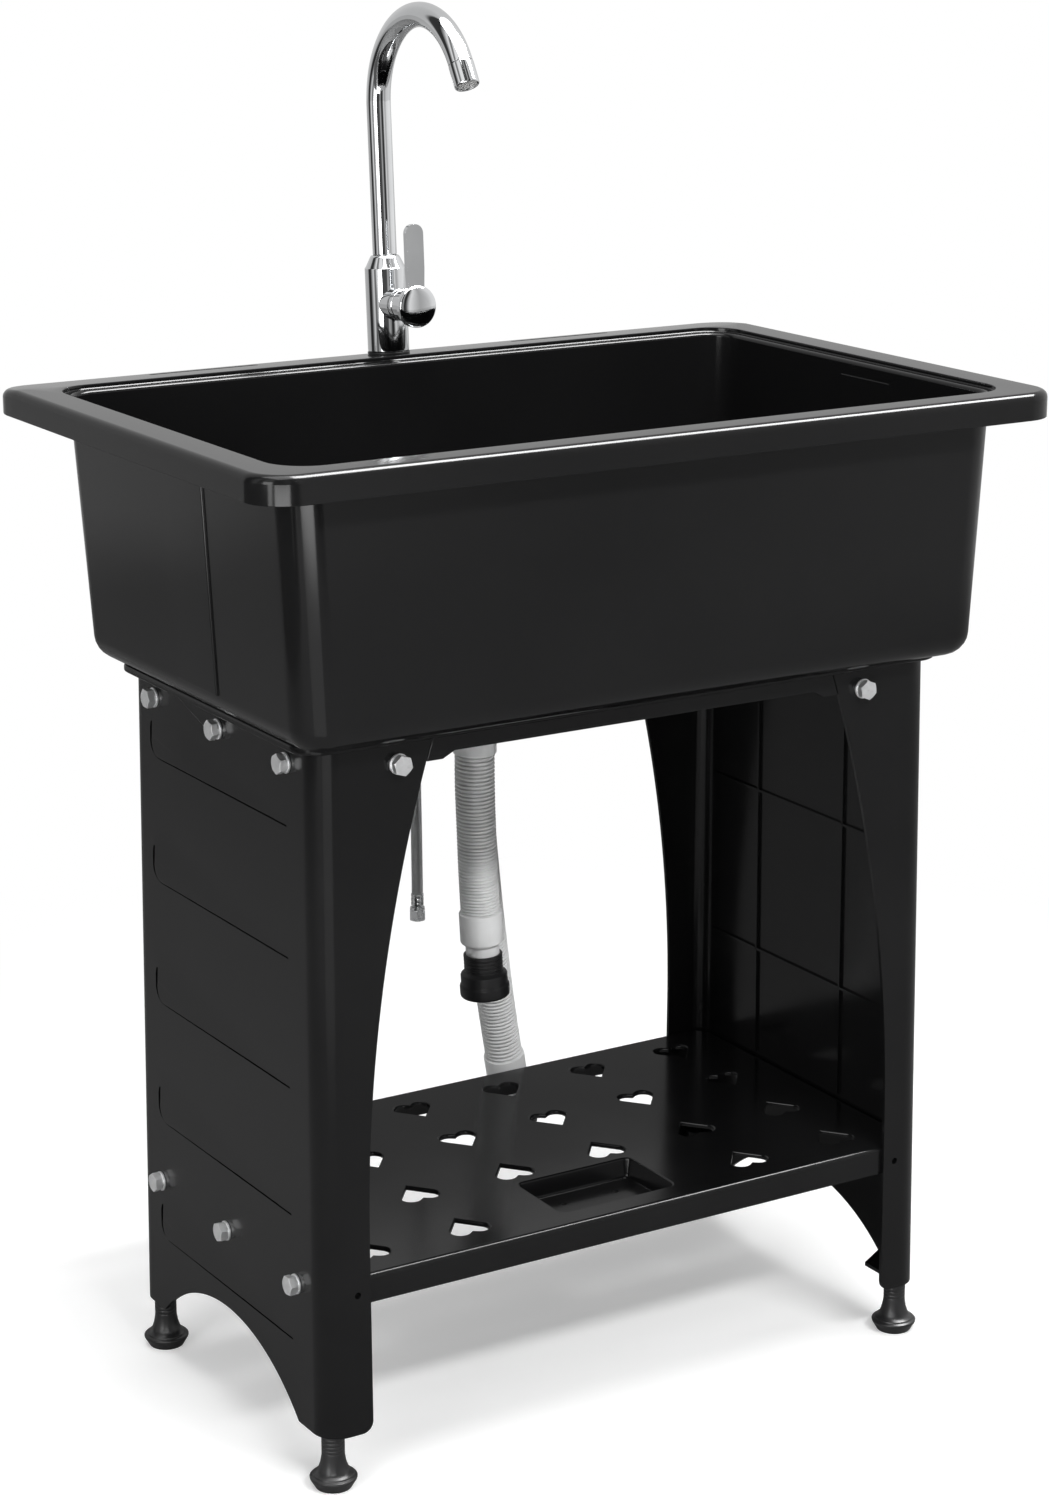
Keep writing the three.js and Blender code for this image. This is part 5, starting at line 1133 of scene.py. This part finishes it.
knob = lathe([*at(bottom, (0, 0.5), (2.2, 0.5)),
              *at(rim, (2.2, -5.4), (2.8, -4.6), (4.8, -3.9), (5.4, -3.2), (5.5, -1.4), (5, -0.6),
                  (4, 0), (0, 0))], 32)
finished("waste_basket", gather(cut(basket, gather(*holes)), knob), strainer_steel,
         ["strainer_basket"], "basket", place=strainer, sharp=40)

# %% The twin outlet
outlet_top = CUP_BOTTOM - 12
outlet_bottom = outlet_top - 24 + 0.3
body = bmesh.new()
skin(body, [add_ring(body, 40.45 - a, 17 - a, 17 - a, 16.99 - a, z, 12) for a, z in (
    *at(outlet_bottom, (1.5, 0), (0.4, 0.4), (0, 1.5)),
    *at(outlet_top, (0, -3), (0.6, -1.5), (2.4, -0.5), (4, -0.3)))])
room = slab(37.45, 14, 14, 13.99, (outlet_bottom + 3, outlet_top - 3.3), 12)
neck = lathe([*at(outlet_top, (18.3, -4.2), (20.6, -4.2), (21.3, -3.4)),
              *at(CUP_BOTTOM, (21.3, -1.2), (20.6, -0.3), (18.3, -0.3))], 48, closed=True)
grips = round_about(18, lambda: block((20.8, -0.8, outlet_top + 0.5),
                                      (21.9, 0.8, CUP_BOTTOM - 1.6), 0.3))
spigots = [move(tube(10.5, 13, outlet_bottom - 24, outlet_bottom + 1), shift(x))
           for x in (-23.45, 23.45)]
ways = [move(rod(10.5, outlet_bottom - 1, outlet_bottom + 4), shift(x)) for x in (-23.45, 23.45)]
ways.append(rod(15, outlet_top - 5, outlet_top + 1))
outlet = move(gather(cut(body, room, gather(*ways)), *spigots), turn(60, "Z"))
finished("twin_waste_outlet", gather(outlet, neck, *grips), white_plastic, ["twin_outlet"],
         place=strainer, bevel=0.4)

# %% [markdown]
# ## The tap
#
# The tap leans back with the deck. Its body is a turned column with a short barrel to the front,
# and in the barrel sits the cartridge that the lever turns. Chrome shows every edge by its
# highlight, so the profiles keep small rounds wherever the real tap has them.

# %% Body, bonnet and lever
VALVE_Z = 40.3
to_front = shift(0, 0, VALVE_Z) @ turn(90, "X")
column = lathe([(0, 2.2), (16, 2.2), (16.5, 2.5), (16.7, 3.1), (16.7, 68.4), (16.5, 69.1),
                (15.9, 69.7), (12.2, 77.2), (11.6, 78.2), (10.9, 78.8), (10.2, 79), (0, 79)], 64)
barrel = move(lathe([(0, 0), (13, 0), (13, 23.4), (12.6, 24), (0, 24)], 64), to_front)
chambers = gather(move(rod(9.6, 4.2, 26), to_front), rod(6, 1, VALVE_Z - 10), rod(9.7, 60.7, 81),
                  rod(6, VALVE_Z + 10, 62), rod(10.3, 1, 14.2))
finished("tap_column", cut(fuse(column, barrel), chambers), tap_chrome, ["tap_body"],
         place=tap_base, bevel=0.35)
bonnet = lathe([(9.6, 24.3), (12, 24.3), (12.4, 24.6), (12.5, 25.1), (12.5, 29), (12.1, 29.4),
                (12.1, 30.2), (12.5, 30.6), (12.5, 44.8), (12.3, 45.2), (11.9, 45.3), (4.3, 45.3),
                (4.3, 32.4), (9.6, 32.4)], 64, closed=True)
finished("tap_bonnet", bonnet, tap_chrome, ["valve_bonnet"], place=tap_base @ to_front)

CAP_BACK, PADDLE_THICK = 45.6, 4.5
cap = lathe(at(CAP_BACK, (0, 0), (16, 0), (16.5, 0.2), (16.7, 0.7), (16.7, 4.6), (16.5, 5.3),
               (15.9, 6), (14.6, 6.7), (12.4, 7.3), (9.2, 7.7), (5, 7.95), (0, 8)), 64)
paddle = bmesh.new()
corners = [paddle.verts.new((x, -CAP_BACK - PADDLE_THICK, VALVE_Z + up)) for x, up in (
    (6.3, 0), (7.8, 30), (7.8, 65), (-7.8, 65), (-7.8, 30), (-6.3, 0))]
paddle.faces.new(corners)
soften(paddle, corners[2:4], 7.2, 8, "VERTICES")
pull(paddle, (0, PADDLE_THICK, 0))
sockets = gather(move(rod(4.3, CAP_BACK - 1, 50.1, 32), to_front),
                 move(rod(2.3, VALVE_Z - 17.7, VALVE_Z - 4, 24), shift(0, -CAP_BACK - 2.6)))
lever = cut(fuse(move(cap, to_front), outwards(paddle)), sockets)
finished("tap_lever", lever, tap_chrome, ["lever"], "lever_group", place=tap_base, bevel=0.7)

# %% [markdown]
# The spout is a bent tube, so it is made as one: a circle pulled straight up and then spun round
# the centre of the bend, with solidify for its wall. Its thinner tail turns in the body.

# %% The spout
BEND, SWEEP, STRAIGHT = 70.0, math.radians(152.5), 197.5
SPOUT_RADIUS = 9.7
spout = bmesh.new()
bmesh.ops.create_circle(spout, cap_ends=False, segments=48, radius=9.1)
move(spout, shift(0, 0, 79.3))
ring_edges = spout.edges[:]
for height in (79.9, STRAIGHT):
    pulled = bmesh.ops.extrude_edge_only(spout, edges=ring_edges)["geom"]
    ring_edges = [e for e in pulled if isinstance(e, bmesh.types.BMEdge)]
    for vert in (v for v in pulled if isinstance(v, bmesh.types.BMVert)):
        vert.co = (*vert.co.xy.normalized() * SPOUT_RADIUS, height)
bmesh.ops.spin(spout, geom=ring_edges, axis=(1, 0, 0), cent=(0, -BEND, STRAIGHT), angle=SWEEP,
               steps=56, use_merge=False)
bmesh.ops.remove_doubles(spout, verts=spout.verts, dist=1e-4)
outwards(spout)
middles = [(f.normal, f.calc_center_median()) for f in spout.faces]
if sum(normal.xy.dot(middle.xy) for normal, middle in middles if middle.z < STRAIGHT) < 0:
    bmesh.ops.reverse_faces(spout, faces=spout.faces)
bmesh.ops.solidify(spout, geom=spout.faces[:], thickness=1.2)
tail = tube(6.8, 8, 61, 79.6)
finished("tap_spout", gather(outwards(spout), tail), tap_chrome, ["spout"], "spout_group",
         place=tap_base, bevel=0.2)

# %% The aerator at its mouth
mouth = Vector((0, -BEND * (1 - math.cos(SWEEP)), STRAIGHT + BEND * math.sin(SWEEP)))
aim = Vector((0, -math.sin(SWEEP), math.cos(SWEEP)))
nozzle = tap_base @ Matrix.Translation(mouth) @ aim.to_track_quat("Z", "Y").to_matrix().to_4x4()
shell = lathe([(7.2, 0.3), (9.4, 0.3), (9.8, 0.6), (9.9, 1.2), (9.9, 17.6), (9.7, 18.4), (9.2, 19),
               (8.4, 19), (8.4, 4.3), (7.2, 3.3)], 64, closed=True)
finished("tap_aerator", shell, tap_chrome, ["aerator_shell"], "spout_group", place=nozzle)
jets = [jet for count, radius in ((6, 3.1), (12, 6.0))
        for jet in round_about(count, lambda: rod(0.9, 5, 20, 12), shift(radius))]
finished("tap_jets", cut(rod(8.1, 7, 17.5), gather(*jets)), white_plastic, ["aerator_insert"],
         "spout_group", place=nozzle)

# %% Pieces round the foot of the tap and under the deck
THREAD_PITCH, THREAD_TURNS = 1.2, 33
base_ring = lathe([(12, 0.3), (16.9, 0.3), (17.1, 0.6), (17.1, 1.6), (16.9, 1.9), (12, 1.9)], 64,
                  closed=True)
finished("tap_foot_ring", base_ring, black_rubber, ["tap_base_ring"], place=tap_base)
thread = []
for i in range(THREAD_TURNS):
    thread += [(radius, start + i * THREAD_PITCH)
               for radius, start in ((10, -38.5), (9.5, -38.0), (9.5, -37.8))]
shank = lathe([(6, -40), (9.4, -40), *thread, (10, 1.5), (10, 13.2), (6, 13.2)], 48, closed=True)
finished("tap_threaded_shank", shank, brass, ["tap_shank"], place=tap_base, sharp=60)
washer = lathe([(10.3, -6.8), (12.5, -6.8), (12.8, -6.5), (12.8, -4.1), (12.5, -3.8),
                (10.3, -3.8)], 48, closed=True)
finished("tap_under_washer", washer, black_rubber, ["tap_washer"], place=tap_base)
lock = hexagon(23.2, -16.1, -7.1, [(0, -16.1), (11.8, -16.1), (13.3, -15.2), (13.3, -8),
                                   (11.8, -7.1), (0, -7.1)])
finished("tap_lock_nut", cut(lock, rod(10.3, -18, -6)), fitting_zinc, ["tap_nut"], place=tap_base,
         bevel=0.3)
tail = lathe([(0, -30), (5.7, -30), (5.7, -40.3), (6.1, -40.3), (6.3, -40.6), (6.3, -47.6),
              (5.9, -48.2), (5.3, -49), (5.3, -53), (5.05, -53.4), (5.05, -54.2), (5.3, -54.6),
              (5.3, -58), (5.05, -58.4), (5.05, -59.2), (5.3, -59.6), (5.3, -63.6), (4.9, -64),
              (0, -64)], 32)
finished("tap_inlet_tail", tail, fitting_zinc, ["supply_tail"], place=tap_base, bevel=0.2)

# %% [markdown]
# A few pieces sit out of sight inside the tap. Their measured solids already have the right
# shape, so they stay and only get their finish.

# %% Finishes for the solids that stay
for name, material in (("valve_cartridge", grey_plastic), ("valve_stem", brass),
                       ("lever_set_screw", bolt_zinc), ("spout_bearing", white_plastic)):
    solid = bpy.data.objects[name]
    for place in solid.material_slots:
        place.material = material
    print(name, "keeps its solid")

# %% [markdown]
# ## Floor, background and light
#
# The sink stands on white paper in a bright studio. The camera sees pure white behind it, and the
# floor keeps the soft shadow under the stand. What makes chrome look like chrome is the room it
# mirrors: pale walls, with a few narrow dark gaps between them. The gaps are stops of one ramp
# round the horizon, which the world and the far floor share. Only reflections see it, and they
# see the near floor as grey paper, which keeps black plastic from looking chalky.

# %% The room that shows in reflections
ROOM = [(-180, 0.2), (-176, 0.25), (-170, 0.85), (-146, 0.9), (-141, 0.07), (-114, 0.07),
        (-107, 0.45), (-96, 0.12), (-92, 0.02), (-86, 0.02), (-80, 0.12), (-71, 0.8), (-60, 0.4),
        (-40, 0.8), (0, 0.9), (40, 0.62), (90, 0.62), (110, 0.55), (127, 0.5), (132, 0.04),
        (149, 0.03), (158, 0.4), (168, 0.9), (176, 0.2), (180, 0.2)]


def look_around(tree, direction):
    """The room's brightness in a direction, from its angle round the horizon."""
    apart = node(tree, "ShaderNodeSeparateXYZ", Vector=direction)
    angle = node(tree, "ShaderNodeMath", operation="ARCTAN2")
    tree.links.new(apart.outputs["Y"], angle.inputs[0])
    tree.links.new(apart.outputs["X"], angle.inputs[1])
    share = node(tree, "ShaderNodeMapRange", From_Min=-math.pi, From_Max=math.pi,
                 Value=angle.outputs[0])
    ramp = node(tree, "ShaderNodeValToRGB", Fac=share.outputs["Result"])
    stops = ramp.color_ramp.elements
    stops.remove(stops[1])
    for degrees, bright in ROOM:
        stop = stops[0] if degrees == -180 else stops.new(degrees / 360 + 0.5)
        stop.position = degrees / 360 + 0.5
        stop.color = (bright, bright, bright, 1)
    return ramp.outputs["Color"]


# %% The floor
WHITE = (1, 1, 1, 1)
floor_shape = bmesh.new()
bmesh.ops.create_grid(floor_shape, x_segments=1, y_segments=1, size=12)
floor = add_object("floor", to_mesh("floor", floor_shape))
paper, tree = new_material("white_paper")
floor.data.materials.append(paper)
tree.nodes.remove(tree.nodes["Principled BSDF"])
place = node(tree, "ShaderNodeTexCoord").outputs["Object"]
away = node(tree, "ShaderNodeVectorMath", operation="LENGTH")
tree.links.new(place, away.inputs[0])


def far_share(near, far):
    """0 nearer than one distance from the sink, 1 beyond the other."""
    return node(tree, "ShaderNodeMapRange", interpolation_type="SMOOTHSTEP", From_Min=near,
                From_Max=far, Value=away.outputs["Value"]).outputs["Result"]


def joined(tree, kind, *inputs):
    """A node whose inputs share a name, so that they are linked in their order."""
    made = node(tree, kind)
    for number, value in enumerate(inputs):
        tree.links.new(value, made.inputs[number])
    return made.outputs[0]


def mixed(share, first, second):
    return joined(tree, "ShaderNodeMixShader", share, first, second)


def glow(strength):
    return node(tree, "ShaderNodeEmission", Color=WHITE, Strength=strength).outputs[0]


matte, grey = (node(tree, "ShaderNodeBsdfDiffuse", Color=(tone, tone, tone, 1)).outputs[0]
               for tone in (0.8, 0.27))
lifted = joined(tree, "ShaderNodeAddShader", matte, glow(0.34))
mirrored = node(tree, "ShaderNodeEmission", Strength=0.8, Color=look_around(tree, place))
seen = node(tree, "ShaderNodeLightPath").outputs
for_camera = mixed(far_share(0.5, 1.3), lifted, glow(1.0))
for_gloss = mixed(far_share(2.5, 3.0), grey, mirrored.outputs[0])
surface = mixed(seen["Is Camera Ray"], mixed(seen["Is Glossy Ray"], matte, for_gloss), for_camera)
tree.links.new(surface, tree.nodes["Material Output"].inputs["Surface"])

# %% The background
world = bpy.data.worlds.new("studio")
bpy.context.scene.world = world
world.use_nodes = True
tree = world.node_tree
backdrop = tree.nodes["Background"]
backdrop.inputs["Color"].default_value = WHITE
backdrop.inputs["Strength"].default_value = 1.0
around = look_around(tree, node(tree, "ShaderNodeTexCoord").outputs["Generated"])
room = node(tree, "ShaderNodeBackground", Strength=1.0, Color=around)
light = node(tree, "ShaderNodeBackground", Color=WHITE, Strength=0.36)
seen = node(tree, "ShaderNodeLightPath").outputs
straight = node(tree, "ShaderNodeMath", operation="MAXIMUM")
tree.links.new(seen["Is Camera Ray"], straight.inputs[0])
tree.links.new(seen["Is Transmission Ray"], straight.inputs[1])
unseen = mixed(seen["Is Glossy Ray"], light.outputs[0], room.outputs[0])
surface = mixed(straight.outputs[0], unseen, backdrop.outputs[0])
tree.links.new(surface, tree.nodes["World Output"].inputs["Surface"])

# %% [markdown]
# Four cards stand low round the sink, out of the picture: dark ones behind and beside it, and two
# bright ones off its near corner. They are what the shelf and the rounded corners mirror, so that
# flat black plastic stays black and its corners carry a bright stripe. They cast no shadow and
# light nothing: only reflections see them.

# %% The cards
CARDS = [("card_behind", 0.22, (-0.34, 0.6), (1.5, 0.6), 0.0, 0.52),
         ("card_beside", 0.1, (-0.97, 0.57), (-1.24, -0.62), 0.33, 0.66),
         ("card_corner_low", 0.9, (-1.07, -0.87), (-0.47, -1.19), 0.0, 0.42),
         ("card_corner_high", 7.5, (-1.07, -0.87), (-0.47, -1.19), 0.42, 0.62)]
for name, bright, start, end, low, high in CARDS:
    card_paint, tree = new_material(name)
    tree.nodes.remove(tree.nodes["Principled BSDF"])
    tree.links.new(glow(bright), tree.nodes["Material Output"].inputs["Surface"])
    card_shape = bmesh.new()
    bmesh.ops.create_grid(card_shape, x_segments=1, y_segments=1, size=0.5)
    move(card_shape, turn(90, "X"))
    along = Vector((end[0] - start[0], end[1] - start[1], 0))
    middle = Vector(((start[0] + end[0]) / 2, (start[1] + end[1]) / 2, (low + high) / 2))
    sized = Matrix.Diagonal((along.length, 1, high - low, 1))
    facing = Matrix.Rotation(math.atan2(along.y, along.x), 4, "Z")
    card = add_object(name, to_mesh(name, move(card_shape, shift(*middle) @ facing @ sized)))
    card.data.materials.append(card_paint)
    card.visible_camera = card.visible_diffuse = False
    card.visible_shadow = card.visible_transmission = False


# %% The lamps
def lamp(name, place, aim, size, watts):
    light = bpy.data.lights.new(name, "AREA")
    light.shape = "RECTANGLE"
    light.size, light.size_y = size
    light.energy = watts
    made = add_object(name, light)
    made.location = place
    made.rotation_euler = (Vector(aim) - Vector(place)).to_track_quat("-Z", "Y").to_euler()
    return made


lamp("overhead", (0.0, -0.2, 3.2), (0, 0, 0.4), (2.6, 2.2), 70)
strip = lamp("strip", (1.1, -0.37, 2.6), (1.1, -0.37, 0), (2.0, 1.0), 170)
strip.visible_diffuse = False
lamp("front_left", (-2.4, -1.1, 0.95), (0, 0, 0.55), (1.0, 1.6), 22)
front = lamp("front", (0.2, -2.9, 2.85), (0, 0, 0.4), (1.8, 0.35), 92)
front.visible_glossy = False
bpy.context.scene.view_settings.view_transform = "Standard"
